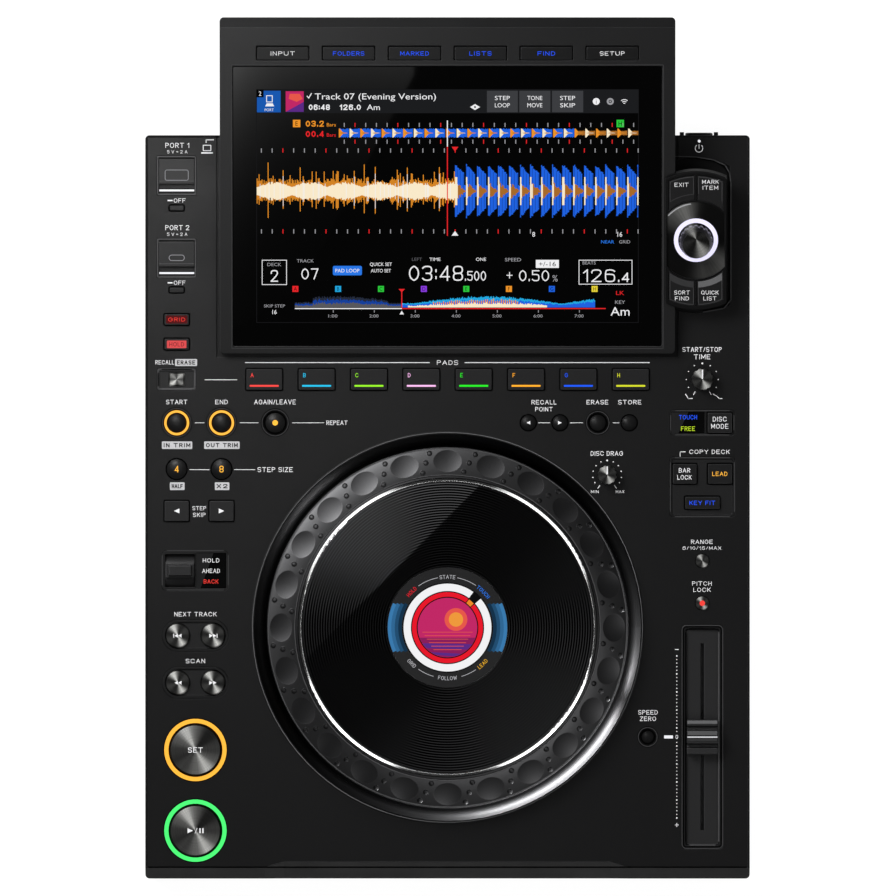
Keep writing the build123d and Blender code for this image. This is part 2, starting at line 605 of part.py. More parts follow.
with BuildPart() as lower_case:
    with BuildSketch(Plane.XY.offset(FLOOR_TOP)):
        with Locations((0, (FRONT + DECK_REAR) / 2)):
            RectangleRounded(WIDTH, DECK_DEPTH, CORNER)
    extrude(amount=PANEL_TOP - FLOOR_TOP)
    with BuildSketch(Plane.XY.offset(FLOOR_TOP)):
        inner_front = FRONT + FRONT_WALL
        inner_rear = DECK_REAR - WALL
        with Locations((0, (inner_front + inner_rear) / 2)):
            Rectangle(WIDTH - 2 * WALL, inner_rear - inner_front)
        with Locations((0, FRONT)):
            Rectangle(2 * (SCOOP_HALF + SCOOP_BLEND + WALL), 2 * SCOOP_WALL, mode=Mode.SUBTRACT)
        with Locations(*SCREW_PLACES[:4]):
            Rectangle(BOSS, BOSS, mode=Mode.SUBTRACT)
    extrude(amount=PANEL_TOP - FLOOR_TOP, mode=Mode.SUBTRACT)
    with BuildSketch(Plane.XY.offset(PANEL_BOTTOM)):
        with BuildLine():
            Polyline(*deck_outline(RIM), close=True)
        make_face()
    extrude(amount=PANEL_T + 1, mode=Mode.SUBTRACT)
    # the rear rim drops to the ledge where the display unit passes over it
    with BuildSketch(Plane.XY.offset(LEDGE_Z)):
        with Locations((0, DECK_REAR)):
            Rectangle(DISPLAY_WIDTH + 2 * DISPLAY_GAP, 2 * WALL)
    extrude(amount=PANEL_T, mode=Mode.SUBTRACT)
    with BuildSketch(Plane(origin=(0, DECK_REAR, REAR_WINDOW_Z), x_dir=(1, 0, 0), z_dir=(0, -1, 0))):
        RectangleRounded(*REAR_WINDOW, 2.0)
    extrude(amount=2 * WALL, both=True, mode=Mode.SUBTRACT)
    add(apron_cut.part, mode=Mode.SUBTRACT)
    with Locations(*[(x, y, FLOOR_TOP) for x, y in SCREW_PLACES]):
        Cylinder(
            SCREW_HOLE_R, SCREW_LENGTH, align=(Align.CENTER, Align.CENTER, Align.MIN), mode=Mode.SUBTRACT
        )
save(lower_case.part, "lower_case")

# ------------------------------------------------------------------ top panel
FRAMES = [
    ((COLUMN_1, FRONT + HOT_CUE_ROW), CALL_FRAME, 1.4),
    ((DIRECTION_X, FRONT + DIRECTION_ROW), DIRECTION_FRAME, 2.6),
    ((COLUMN_R, FRONT + LOOP_ROW), JOG_MODE_FRAME, 2.0),
    ((COLUMN_R, FRONT + SYNC_FRAME_ROW), SYNC_FRAME, 2.4),
    ((COLUMN_R, FRONT + SLIDER_ROW), SLIDER_FRAME, 2.6),
    ((TRANSPORT_X, FRONT + SEARCH_ROW), SEARCH_FRAME, SEARCH_FRAME[1] / 2 - 0.01),
    ((TRANSPORT_X, FRONT + TRACK_ROW), SEARCH_FRAME, SEARCH_FRAME[1] / 2 - 0.01),
] + [(place, (USB_FRAME, USB_FRAME), 1.4) for place in USB_WELLS]

# shallow wells with sloping sides: place, size, corner, depth, side slope in degrees
WELLS = [
    ((COLUMN_1, FRONT + HOT_CUE_ROW), CALL_WELL, 0.6, 1.3, 30),
    ((COLUMN_R, FRONT + SYNC_FRAME_ROW), SYNC_WELL, 1.4, 0.5, 30),
    ((COLUMN_R, FRONT + SLIDER_ROW), SLIDER_WELL, 1.4, SLIDER_WELL_DEPTH, 20),
    ((TRANSPORT_X, FRONT + SEARCH_ROW), SEARCH_WELL, SEARCH_WELL[1] / 2 - 0.01, WELL_DEPTH, 30),
    ((TRANSPORT_X, FRONT + TRACK_ROW), SEARCH_WELL, SEARCH_WELL[1] / 2 - 0.01, WELL_DEPTH, 30),
]

# conical seats round single keys: place, mouth radius, throat radius, depth
RING_INNER = LOOP_DOME_R + RING_GAP
RING_OUTER = RING_INNER + RING_WIDTH
SEATS = [
    (LOOP_IN, RING_OUTER + 1.5, RING_OUTER + 0.1, 1.5), (LOOP_OUT, RING_OUTER + 1.5, RING_OUTER + 0.1, 1.5),
    (RELOOP, RELOOP_R + 2.6, RELOOP_R + 0.3, 1.8), (DELETE, DELETE_R + 2.3, DELETE_R + 0.3, 1.8),
    (RESET, RESET_R + 2.4, RESET_R + 0.3, 1.8),
]

RECT_HOLES = [(place, HOT_CUE_KEY) for place in HOT_CUE]
RECT_HOLES += [(place, JUMP_KEY) for place in BEAT_JUMP] + [(place, SYNC_KEY) for place in SYNC]
RECT_HOLES += [(QUANTIZE, SMALL_KEY), (SLIP, SMALL_KEY), (CALL, CALL_KEY), (KEY_SYNC, KEY_SYNC_KEY)]
RECT_HOLES += [(JOG_MODE, JOG_MODE_KEY)] + [(place, STOP_KEY) for place in STOPS]
ROUND_HOLES = [(place, SEARCH_R) for place in SEARCH + TRACK]
ROUND_HOLES += [(place, ARROW_DOME_R) for place in ARROWS + [MEMORY]]
ROUND_HOLES += [(place, BEAT_DOME_R) for place in BEAT_LOOP] + [(place, TEMPO_KEY_R) for place in TEMPO_KEYS]
GUIDE_CLEARANCE = 0.1
TIGHT_HOLES = [(RELOOP, RELOOP_R + 0.3), (DELETE, DELETE_R + 0.3), (RESET, RESET_R + 0.3)]
TIGHT_HOLES += [(place, RING_OUTER + GUIDE_CLEARANCE) for place in (LOOP_IN, LOOP_OUT)]
TIGHT_HOLES += [(place, TRANSPORT_RING[1] + GUIDE_CLEARANCE) for place in (CUE, PLAY)]
TIGHT_HOLES += [(place, KNOB_SHAFT_R + SPIN_CLEARANCE) for place in (VINYL_KNOB, FEEL_KNOB)]

with BuildPart() as top_panel:
    with BuildSketch(Plane.XY.offset(PANEL_BOTTOM)):
        with BuildLine():
            Polyline(*deck_outline(RIM + SEAM), close=True)
        make_face()
    extrude(amount=PANEL_T)
    with BuildSketch(DECK):
        with Locations((0, JOG_Y)):
            Circle(SKIRT_R + 1.4)
            Circle(SKIRT_R + 0.6, mode=Mode.SUBTRACT)
    extrude(amount=0.5)
    # the sunken ledge under the display unit, and the opening for its cables
    with BuildSketch(DECK):
        ledge_front = DISPLAY_FRONT - DISPLAY_GAP
        with Locations((0, (ledge_front + DECK_REAR) / 2)):
            Rectangle(DISPLAY_WIDTH + 2 * DISPLAY_GAP, DECK_REAR - ledge_front)
    extrude(amount=-LEDGE_DROP, mode=Mode.SUBTRACT)
    with BuildSketch(DECK):
        with Locations((0, DISPLAY_FRONT + CABLE_SETBACK)):
            RectangleRounded(*CABLE_OPENING, 3)
    extrude(amount=-PANEL_T, mode=Mode.SUBTRACT)
    # the well under the selector pod
    with BuildSketch(DECK):
        with Locations((POD_X, POD_Y + POD_WELL_SHIFT)):
            Circle(POD_WELL_R)
        with Locations((DISPLAY_SIDE + POD_WELL_R, POD_Y)):
            Rectangle(2 * POD_WELL_R, 3 * POD_WELL_R, mode=Mode.INTERSECT)
        with Locations((POD_X + POD_WELL_HALF - POD_WELL_R, POD_Y)):
            Rectangle(2 * POD_WELL_R, 3 * POD_WELL_R, mode=Mode.INTERSECT)
    extrude(amount=-POD_WELL_DEPTH, mode=Mode.SUBTRACT)
    # fine seams round the frames
    with BuildSketch(DECK):
        for place, size, corner in FRAMES:
            with Locations(place):
                RectangleRounded(*size, corner)
                RectangleRounded(*grown(size, -GROOVE), corner - GROOVE, mode=Mode.SUBTRACT)
    extrude(amount=-GROOVE, mode=Mode.SUBTRACT)
    for place, size, corner, depth, slope in WELLS:
        with BuildSketch(DECK):
            with Locations(place):
                RectangleRounded(*size, corner)
        extrude(amount=-depth, taper=slope if corner > 1 else 0, mode=Mode.SUBTRACT)
    for (x, y), mouth, throat, depth in SEATS:
        with Locations((x, y, PANEL_TOP)):
            Cone(throat, mouth, depth, align=(Align.CENTER, Align.CENTER, Align.MAX), mode=Mode.SUBTRACT)
    # through openings
    with BuildSketch(DECK):
        for place, size in RECT_HOLES:
            with Locations(place):
                RectangleRounded(*grown(size, KEY_GAP), 0.8)
        for place, radius in ROUND_HOLES:
            with Locations(place):
                Circle(radius + KEY_GAP * 0.8)
        for place, radius in TIGHT_HOLES:
            with Locations(place):
                Circle(radius)
        with Locations(LEVER):
            Rectangle(*LEVER_WELL)
        with Locations(SLIDER):
            Rectangle(*SLIDER_SLOT)
        with Locations(ZERO_LAMP_PLACE):
            Rectangle(*ZERO_LAMP)
        with Locations((0, JOG_Y)):
            Circle(POST_BORE - 2)
    extrude(amount=-PANEL_T, mode=Mode.SUBTRACT)
    # pockets for the dark indicator windows
    with BuildSketch(DECK):
        with Locations((DIRECTION_WINDOW_X, FRONT + DIRECTION_ROW)):
            Rectangle(*DIRECTION_WINDOW)
        with Locations(JOG_MODE_PANE):
            Rectangle(*JOG_MODE_WINDOW)
    extrude(amount=-WINDOW_T - WINDOW_DROP, mode=Mode.SUBTRACT)
    with BuildSketch(DECK):
        with Locations(POWER_LAMP):
            Circle(POWER_LAMP_R)
    extrude(amount=-POWER_LAMP_DEPTH, mode=Mode.SUBTRACT)
    # the wells of the two USB flaps, with the pin holes in their side walls
    with BuildSketch(DECK):
        with Locations(*USB_WELLS):
            RectangleRounded(USB_WELL, USB_WELL, 0.6)
    extrude(amount=-USB_WELL_DEPTH, mode=Mode.SUBTRACT)
    with BuildSketch(DECK):
        with Locations(*USB_WELLS):
            with Locations((0, USB_BAR_OFFSET)):
                Rectangle(*USB_BAR)
        with Locations(USB_WELLS[0]):
            Rectangle(*grown(USB_SHELL, 0.2))
        with Locations(USB_WELLS[1]):
            Rectangle(*grown(USB_C_SHELL, 0.2))
    extrude(amount=-PANEL_T, mode=Mode.SUBTRACT)
    LID_AXIS_Z = PANEL_TOP - USB_WELL_DEPTH + 0.4 + LID_T / 2
    with Locations(*[Location((x, y + LID_REACH, LID_AXIS_Z), (0, 90, 0)) for x, y in USB_WELLS]):
        Cylinder(LID_PIN_R + SPIN_CLEARANCE, USB_WELL + 1.4, mode=Mode.SUBTRACT)
    # the two lugs that carry the direction lever
    lug_x = LEVER_WELL[0] / 2 + LUG_T / 2
    lug_z = PANEL_TOP - DRUM_DROP
    with BuildSketch(Plane.XY.offset(PANEL_BOTTOM)):
        with Locations((LEVER[0] - lug_x, LEVER[1]), (LEVER[0] + lug_x, LEVER[1])):
            Rectangle(LUG_T, 4 * LEVER_PIN_R)
    extrude(amount=-(PANEL_BOTTOM - lug_z + 2 * LEVER_PIN_R))
    with Locations(Location((LEVER[0], LEVER[1], lug_z), (0, 90, 0))):
        Cylinder(LEVER_PIN_R + SPIN_CLEARANCE, 2 * lug_x + 2 * LUG_T, mode=Mode.SUBTRACT)
save(top_panel.part, "top_panel")

# ------------------------------------------------------------------ direction lever
with BuildPart() as direction_lever:
    drum_width = LEVER_WELL[0] - 0.6
    side = Plane(origin=(LEVER[0], LEVER[1], PANEL_TOP - DRUM_DROP), x_dir=(0, 1, 0), z_dir=(1, 0, 0))
    with BuildSketch(side):
        Circle(DRUM_R)
        with Locations((0, -DRUM_R + 1.5)):
            Rectangle(3 * DRUM_R, 2 * DRUM_R, mode=Mode.SUBTRACT)
        Circle(3 * LEVER_PIN_R)
    extrude(amount=drum_width / 2, both=True)
    with BuildSketch(side):
        Circle(LEVER_PIN_R)
    extrude(amount=LEVER_WELL[0] / 2 + LUG_T - 0.2, both=True)
    with BuildSketch(DECK.offset(-2)):
        with Locations(LEVER):
            Rectangle(*PADDLE_BASE)
    extrude(amount=3)
    with BuildSketch(DECK.offset(1)):
        with Locations(LEVER):
            Rectangle(*grown(PADDLE_TIP, 0.6))
    extrude(amount=PADDLE_TOP - 1, taper=5)
save(direction_lever.part, "direction_lever")

# ------------------------------------------------------------------ tempo slider and its fader
FADER_SLOT_Z = PANEL_BOTTOM - FADER_BODY[2] + 2
with BuildPart() as fader_body:
    with BuildSketch(Plane.XY.offset(PANEL_BOTTOM)):
        with Locations(SLIDER):
            Rectangle(FADER_BODY[0], FADER_BODY[1])
    extrude(amount=-FADER_BODY[2])
    with BuildSketch(Plane.XY.offset(PANEL_BOTTOM)):
        with Locations(SLIDER):
            Rectangle(SLIDER_SLOT[0] + 1, SLIDER_SLOT[1] + 2)
    extrude(amount=-(FADER_BODY[2] - 2), mode=Mode.SUBTRACT)
save(fader_body.part, "fader_body")

with BuildPart() as tempo_slider:
    cap_bottom = PANEL_TOP - SLIDER_WELL_DEPTH + 1.0
    half = CAP[1] / 2
    ridge = 3.4
    valley = 6.2
    section = Plane(origin=(SLIDER[0], SLIDER[1], cap_bottom), x_dir=(0, 1, 0), z_dir=(1, 0, 0))
    with BuildSketch(section):
        with BuildLine():
            Polyline(
                (-half, 0), (-half, CAP_HEIGHT - 4.6), (-half + 0.7, CAP_HEIGHT - 4),
                (-valley, CAP_HEIGHT - 4),
                (-valley + 1, CAP_HEIGHT - 6.5), (-ridge - 0.8, CAP_HEIGHT - 6.5),
                (-ridge, CAP_HEIGHT - 0.6), (0, CAP_HEIGHT), (ridge, CAP_HEIGHT - 0.6),
                (ridge + 0.8, CAP_HEIGHT - 6.5),
                (valley - 1, CAP_HEIGHT - 6.5), (valley, CAP_HEIGHT - 4), (half - 0.7, CAP_HEIGHT - 4),
                (half, CAP_HEIGHT - 4.6), (half, 0), close=True,
            )
        make_face()
    extrude(amount=CAP[0] / 2, both=True)
    with BuildSketch(Plane.XY.offset(cap_bottom)):
        with Locations(SLIDER):
            Rectangle(*BLADE)
    extrude(amount=FADER_SLOT_Z + 0.5 - cap_bottom)
save(tempo_slider.part, "tempo_slider")

# ------------------------------------------------------------------ rotary knobs


def fluted_knob(radius, tip_radius, height, flutes, flute_r, bottom):
    """A turned knob body with flutes down its side; z = 0 is its underside."""
    with BuildPart() as knob:
        with BuildSketch():
            Circle(radius)
            with PolarLocations(radius + flute_r * 0.6, flutes):
                Circle(flute_r, mode=Mode.SUBTRACT)
        extrude(amount=height)
        with BuildSketch(Plane.XZ):
            with BuildLine():
                Polyline(
                    (0, -1), (radius + 1, -1), (radius + 1, 0), (tip_radius, height), (0, height), close=True
                )
            make_face()
        revolve(axis=Axis.Z, mode=Mode.INTERSECT)
    return knob.part.moved(Location((0, 0, bottom)))


def trim_knob(radius):
    """A small knob on its shaft, with z = 0 at the deck."""
    with BuildPart() as knob:
        add(fluted_knob(radius, radius * 0.94, KNOB_HEIGHT, KNOB_FLUTES, radius * 0.22, 0.6))
        with Locations((0, 0, 0.8)):
            Cylinder(KNOB_SHAFT_R, 0.8 - STEM_END, align=(Align.CENTER, Align.CENTER, Align.MAX))
    return knob.part


save(placed(trim_knob(VINYL_KNOB_R), [VINYL_KNOB]), "vinyl_speed_knob")
save(placed(trim_knob(FEEL_KNOB_R), [FEEL_KNOB]), "jog_feel_knob")

# ------------------------------------------------------------------ USB flaps and sockets
for number, (x, y) in enumerate(USB_WELLS, start=1):
    with BuildPart() as flap:
        pin_place = Plane(origin=(x, y + LID_REACH, LID_AXIS_Z), x_dir=(0, 1, 0), z_dir=(1, 0, 0))
        with BuildSketch(pin_place):
            Circle(LID_T / 2)
            with Locations((-LID[1] / 2, 0)):
                Rectangle(LID[1], LID_T)
            with Locations((-LID[1] - 0.5, LID_LIP / 2)):
                Rectangle(1.6, LID_T + LID_LIP)
        extrude(amount=LID[0] / 2, both=True)
        with BuildSketch(pin_place):
            Circle(LID_PIN_R)
        extrude(amount=USB_WELL / 2 + 0.5, both=True)
    save(flap.part, f"usb_flap_{number}")

with BuildPart() as usb_sockets:
    shells = [
        (USB_WELLS[0], USB_SHELL, USB_MOUTH, 0.3, 1.0, 1.9),
        (USB_WELLS[1], USB_C_SHELL, USB_C_MOUTH, 1.4, 0.0, 0.7),
    ]
    shell_top = Plane.XY.offset(PANEL_TOP - USB_WELL_DEPTH)
    for place, shell, mouth, corner, tongue_shift, tongue in shells:
        with BuildSketch(shell_top):
            with Locations(place):
                RectangleRounded(*shell, corner)
        extrude(amount=-USB_DEPTH)
        with BuildSketch(shell_top):
            with Locations(place):
                RectangleRounded(*mouth, corner)
                with Locations((0, tongue_shift)):
                    Rectangle(mouth[0] - 1.6, tongue, mode=Mode.SUBTRACT)
        extrude(amount=-USB_DEPTH + 2, mode=Mode.SUBTRACT)
save(usb_sockets.part, "usb_sockets")

# ------------------------------------------------------------------ light guides and indicator windows
GUIDE_FLANGE = 1.0


def ring_guide(inner, outer, top):
    """A lit ring with a flange that seats under the deck; z = 0 at the deck."""
    with BuildPart() as ring:
        with BuildSketch(Plane.XZ):
            with BuildLine():
                Polyline(
                    (inner, top), (outer, top), (outer, -PANEL_T), (outer + GUIDE_FLANGE, -PANEL_T),
                    (outer + GUIDE_FLANGE, -PANEL_T - FLANGE_T), (inner, -PANEL_T - FLANGE_T), close=True,
                )
            make_face()
        revolve(axis=Axis.Z)
    return ring.part


with BuildPart() as light_guides:
    with Locations(*[(x, y, PANEL_TOP) for x, y in (LOOP_IN, LOOP_OUT)]):
        add(ring_guide(RING_INNER, RING_OUTER, -0.8))
    with Locations(*[(x, y, PANEL_TOP) for x, y in (CUE, PLAY)]):
        add(ring_guide(*TRANSPORT_RING, 0.15))
    with BuildSketch(DECK.offset(-USB_WELL_DEPTH + 0.4)):
        with Locations(*USB_WELLS):
            with Locations((0, USB_BAR_OFFSET)):
                Rectangle(USB_BAR[0], USB_BAR[1])
    extrude(amount=-PANEL_T + USB_WELL_DEPTH - 0.4)
    with BuildSketch(DECK.offset(-PANEL_T)):
        with Locations(*USB_WELLS):
            with Locations((0, USB_BAR_OFFSET)):
                Rectangle(USB_BAR[0] + 1, USB_BAR[1] + 1)
        with Locations(ZERO_LAMP_PLACE):
            Rectangle(*grown(ZERO_LAMP, 1))
    extrude(amount=-FLANGE_T)
    with BuildSketch(DECK.offset(0.1)):
        with Locations(ZERO_LAMP_PLACE):
            Rectangle(*ZERO_LAMP)
    extrude(amount=-PANEL_T - 0.1)
    with BuildSketch(DECK.offset(0.1)):
        with Locations(POWER_LAMP):
            Circle(POWER_LAMP_R)
    extrude(amount=-POWER_LAMP_DEPTH - 0.1)
    with BuildSketch(FACE.offset(POD_T - DIAL_DROP + 0.4)):
        with Locations((POD_X, POD_UP)):
            Circle(SELECTOR_RING[1])
            Circle(SELECTOR_RING[0], mode=Mode.SUBTRACT)
    extrude(amount=-1.4)
save(light_guides.part, "light_guides")

with BuildPart() as indicator_windows:
    with BuildSketch(DECK.offset(-WINDOW_DROP)):
        with Locations((DIRECTION_WINDOW_X, FRONT + DIRECTION_ROW)):
            Rectangle(*grown(DIRECTION_WINDOW, -0.1))
        with Locations(JOG_MODE_PANE):
            Rectangle(*grown(JOG_MODE_WINDOW, -0.1))
    extrude(amount=-WINDOW_T)
save(indicator_windows.part, "indicator_windows")

# ------------------------------------------------------------------ jog wheel
with BuildPart() as jog_base:
    with BuildSketch(JOG_SECTION):
        with BuildLine():
            Polyline(
                (POST_BORE, 0), (HUB_R + 22, 0), (HUB_R + 22, 2), (POST_R, 2), (POST_R, WEB_TOP + 0.2),
                (POST_BORE, WEB_TOP + 0.2), close=True,
            )
        make_face()
    revolve(axis=JOG_AXIS)
save(jog_base.part, "jog_base")

with BuildPart() as jog_display:
    with BuildSketch(JOG_SECTION):
        with BuildLine():
            display_top = WEB_TOP + PLATE_T + 0.3
            Polyline(
                (0, WEB_TOP - 5), (POST_BORE - 0.05, WEB_TOP - 5), (POST_BORE - 0.05, WEB_TOP + 0.2),
                (JOG_DISPLAY_R, WEB_TOP + 0.2), (JOG_DISPLAY_R, display_top - 0.3),
                (JOG_DISPLAY_R - 0.3, display_top), (0, display_top), close=True,
            )
        make_face()
    revolve(axis=JOG_AXIS)
save(jog_display.part, "jog_display")

with BuildPart() as jog_plate:
    with BuildSketch(JOG_SECTION):
        with BuildLine():
            Polyline(
                (POST_R + SPIN_CLEARANCE, 3), (HUB_R, 3), (HUB_R, WEB_TOP), (PLATE_R, WEB_TOP),
                (PLATE_R, WEB_TOP + PLATE_T), (JOG_DISPLAY_R + 0.4, WEB_TOP + PLATE_T),
                (JOG_DISPLAY_R + 0.4, WEB_TOP - 0.2), (POST_R + SPIN_CLEARANCE, WEB_TOP - 0.2), close=True,
            )
        make_face()
    revolve(axis=JOG_AXIS)
save(jog_plate.part, "jog_plate")

with BuildPart() as jog_trim:
    trim_inner = PLATE_R + TRIM_GAP
    trim_outer = trim_inner + TRIM_WIDTH
    shoulder = WEB_TOP + PLATE_T + 0.2
    with BuildSketch(JOG_SECTION):
        with BuildLine():
            Polyline(
                (trim_inner, shoulder), (trim_inner, WEB_TOP), (trim_outer, WEB_TOP), (trim_outer, shoulder)
            )
            trim_middle = (trim_inner + trim_outer) / 2
            ThreePointArc((trim_inner, shoulder), (trim_middle, shoulder + 0.9), (trim_outer, shoulder))
        make_face()
    revolve(axis=JOG_AXIS)
save(jog_trim.part, "jog_trim")

with BuildPart() as nub:
    with BuildSketch(Plane.XZ):
        with BuildLine():
            ThreePointArc((0, NUB_HEIGHT), (NUB_R * 0.6, NUB_HEIGHT * 0.7), (NUB_R, 0))
            Polyline((NUB_R, 0), (NUB_R, -NUB_ROOT), (0, -NUB_ROOT), (0, NUB_HEIGHT))
        make_face()
    revolve(axis=Axis.Z)

with BuildPart() as jog_rim:
    with BuildSketch(JOG_SECTION):
        with BuildLine():
            Polyline((RIM_R - 1.9, WEB_TOP - WEB_T), (HUB_R + 0.2, WEB_TOP - WEB_T), (HUB_R + 0.2, WEB_TOP),
                     (RIM_INNER_R, WEB_TOP), (RIM_INNER_R, RIM_TOP - 0.3), (RIM_INNER_R + 0.3, RIM_TOP))
            ThreePointArc(
                (RIM_INNER_R + 0.3, RIM_TOP), (RIM_MIDDLE_R, RIM_TOP + CROWN), (RIM_R - 0.4, RIM_TOP)
            )
            Polyline((RIM_R - 0.4, RIM_TOP), (RIM_R, RIM_TOP - 0.4), (RIM_R, RIM_TOP - 1.6))
            ThreePointArc((RIM_R, RIM_TOP - 1.6), (RIM_R + 1.7, 7.0), (SKIRT_R, 1.5))
            Line((SKIRT_R, 1.5), (SKIRT_R - 1.6, 1.5))
            ThreePointArc((SKIRT_R - 1.6, 1.5), (RIM_R + 0.1, 6.2), (RIM_R - 1.9, WEB_TOP - WEB_T))
        make_face()
    revolve(axis=JOG_AXIS)
    dimple_z = PANEL_TOP + RIM_TOP + CROWN + DIMPLE_R - DIMPLE_DEPTH
    with Locations((0, JOG_Y, dimple_z)):
        with PolarLocations(RIM_MIDDLE_R, DIMPLES):
            Sphere(DIMPLE_R, mode=Mode.SUBTRACT)
    # rows of three small nubs between the dimples, each row a little slanted
    crown_sphere = ((RIM_MIDDLE_R - RIM_INNER_R) ** 2 + CROWN**2) / (2 * CROWN)
    for order, shift in enumerate(NUB_SHIFTS):
        sag = crown_sphere - math.sqrt(crown_sphere**2 - shift**2)
        nub_z = PANEL_TOP + RIM_TOP + CROWN - sag
        start = 180 / DIMPLES + (order - 1) * NUB_SLANT
        with Locations((0, JOG_Y, nub_z)):
            with PolarLocations(RIM_MIDDLE_R + shift, DIMPLES, start_angle=start):
                add(nub.part)
save(jog_rim.part, "jog_rim")

# ------------------------------------------------------------------ display unit
DISPLAY_CORNER = 2.2


def display_prism(points):
    """A section of the display unit, carried across its full width."""
    with BuildPart() as prism:
        with BuildSketch(Plane.YZ):
            with BuildLine():
                Polyline(*points, close=True)
            make_face()
        extrude(amount=DISPLAY_SIDE, both=True)
    return prism.part


with BuildPart() as display_bezel:
    bevel_y = REAR - BACK_BEVEL
    add(display_prism([
        (DISPLAY_FRONT, slope_z(DISPLAY_FRONT) - BEZEL_T), (DISPLAY_FRONT, slope_z(DISPLAY_FRONT)),
        (bevel_y, slope_z(bevel_y)), (REAR, slope_z(REAR) - BACK_BEVEL_DROP),
        (REAR, slope_z(REAR) - BEZEL_T),
    ]))
    fillet(display_bezel.edges().filter_by(Axis.Z), DISPLAY_CORNER)
    glass_middle = (0, GLASS_MARGIN + GLASS_LENGTH / 2)
    with BuildSketch(FACE):
        with Locations(glass_middle):
            RectangleRounded(GLASS_WIDTH, GLASS_LENGTH, 1.0)
    extrude(amount=-GLASS_T, mode=Mode.SUBTRACT)
    with BuildSketch(FACE):
        with Locations(glass_middle):
            Rectangle(GLASS_WIDTH - 2 * GLASS_LEDGE, GLASS_LENGTH - 2 * GLASS_LEDGE)
        with Locations(*MENU):
            RectangleRounded(*grown(MENU_KEY, KEY_GAP), 0.8)
    extrude(amount=-3 * BEZEL_T, mode=Mode.SUBTRACT)
save(display_bezel.part, "display_bezel")

with BuildPart() as display_glass:
    with BuildSketch(FACE.offset(-GLASS_T)):
        with Locations(glass_middle):
            RectangleRounded(GLASS_WIDTH - 0.3, GLASS_LENGTH - 0.3, 0.9)
    extrude(amount=GLASS_T - 0.1)
save(display_glass.part, "display_glass")

with BuildPart() as lcd_module:
    lcd_length = GLASS_LENGTH - GLASS_LEDGE - LCD_MARGIN - 0.5
    with BuildSketch(FACE.offset(-GLASS_T)):
        with Locations((0, GLASS_MARGIN + LCD_MARGIN + lcd_length / 2)):
            Rectangle(GLASS_WIDTH - 2 * GLASS_LEDGE - 1, lcd_length)
    extrude(amount=-LCD_T)
    board_low = 40.0
    board_high = MENU_ROW + MENU_KEY[1]
    with BuildSketch(FACE.offset(-GLASS_T - LCD_T)):
        with Locations((0, (board_low + board_high) / 2)):
            Rectangle(GLASS_WIDTH - 2 * GLASS_LEDGE - 4, board_high - board_low)
    extrude(amount=-BOARD_T)
save(lcd_module.part, "lcd_module")

with BuildPart() as display_back_cover:
    low_rear = slope_z(REAR) - BEZEL_T - COVER_REAR
    rise_y = DECK_REAR + 3.0
    add(display_prism([
        (DISPLAY_FRONT, LEDGE_Z), (DISPLAY_FRONT, slope_z(DISPLAY_FRONT) - BEZEL_T),
        (REAR, slope_z(REAR) - BEZEL_T), (REAR, low_rear), (rise_y, LEDGE_Z + COVER_RISE),
        (DECK_REAR, LEDGE_Z),
    ]))
    fillet(display_back_cover.edges().filter_by(Axis.Z), DISPLAY_CORNER)
    with BuildSketch(Plane.YZ):
        with BuildLine():
            lift = COVER_WALL * 1.1
            Polyline(
                (DISPLAY_FRONT + COVER_WALL, LEDGE_Z + COVER_WALL),
                (DISPLAY_FRONT + COVER_WALL, slope_z(DISPLAY_FRONT)),
                (REAR - COVER_WALL, slope_z(REAR)), (REAR - COVER_WALL, low_rear + lift),
                (rise_y - COVER_WALL, LEDGE_Z + COVER_RISE + lift), (DECK_REAR - lift, LEDGE_Z + COVER_WALL),
                close=True,
            )
        make_face()
    extrude(amount=DISPLAY_SIDE - COVER_WALL, both=True, mode=Mode.SUBTRACT)
    with BuildSketch(Plane.XY.offset(LEDGE_Z)):
        with Locations((0, DISPLAY_FRONT + CABLE_SETBACK)):
            RectangleRounded(*CABLE_OPENING, 3)
    extrude(amount=COVER_WALL, mode=Mode.SUBTRACT)
save(display_back_cover.part, "display_back_cover")

# ------------------------------------------------------------------ selector pod


def pod_key_cells(plane, clearance):
    """The four key shapes round the dial, grown all round by a clearance."""
    inner, outer = POD_KEY
    near, far = POD_KEY_SPAN
    with BuildSketch(plane) as cells:
        with Locations((POD_X, POD_UP)):
            Circle(outer + clearance)
            Circle(inner - clearance, mode=Mode.SUBTRACT)
            Rectangle(2 * (far + clearance), 3 * outer, mode=Mode.INTERSECT)
            Rectangle(2 * (near - clearance), 3 * outer, mode=Mode.SUBTRACT)
    return cells.sketch


POD_KEY_FLOOR = 0.4
STEM_SIDE = sum(POD_KEY_SPAN) / 2
STEM_UP = sum(POD_KEY) / 2
STEM_PLACES = [(POD_X + side * STEM_SIDE, POD_UP + end * STEM_UP) for side in (-1, 1) for end in (-1, 1)]

with BuildPart() as pod_pedestal:
    with BuildSketch(Plane.XY.offset(PANEL_TOP - POD_WELL_DEPTH)):
        with Locations((POD_X, POD_Y)):
            Circle(POD_R - 2)
            Rectangle(POD_WIDTH - 2, 3 * POD_R, mode=Mode.INTERSECT)
        with Locations((POD_FOOT_X + POD_R, POD_Y)):
            Rectangle(2 * POD_R, 3 * POD_R, mode=Mode.INTERSECT)
        offset(amount=-POD_WALL, mode=Mode.SUBTRACT)
    extrude(amount=2 * POD_R)
    split(bisect_by=FACE.offset(-POD_SKIRT / 2), keep=Keep.BOTTOM)

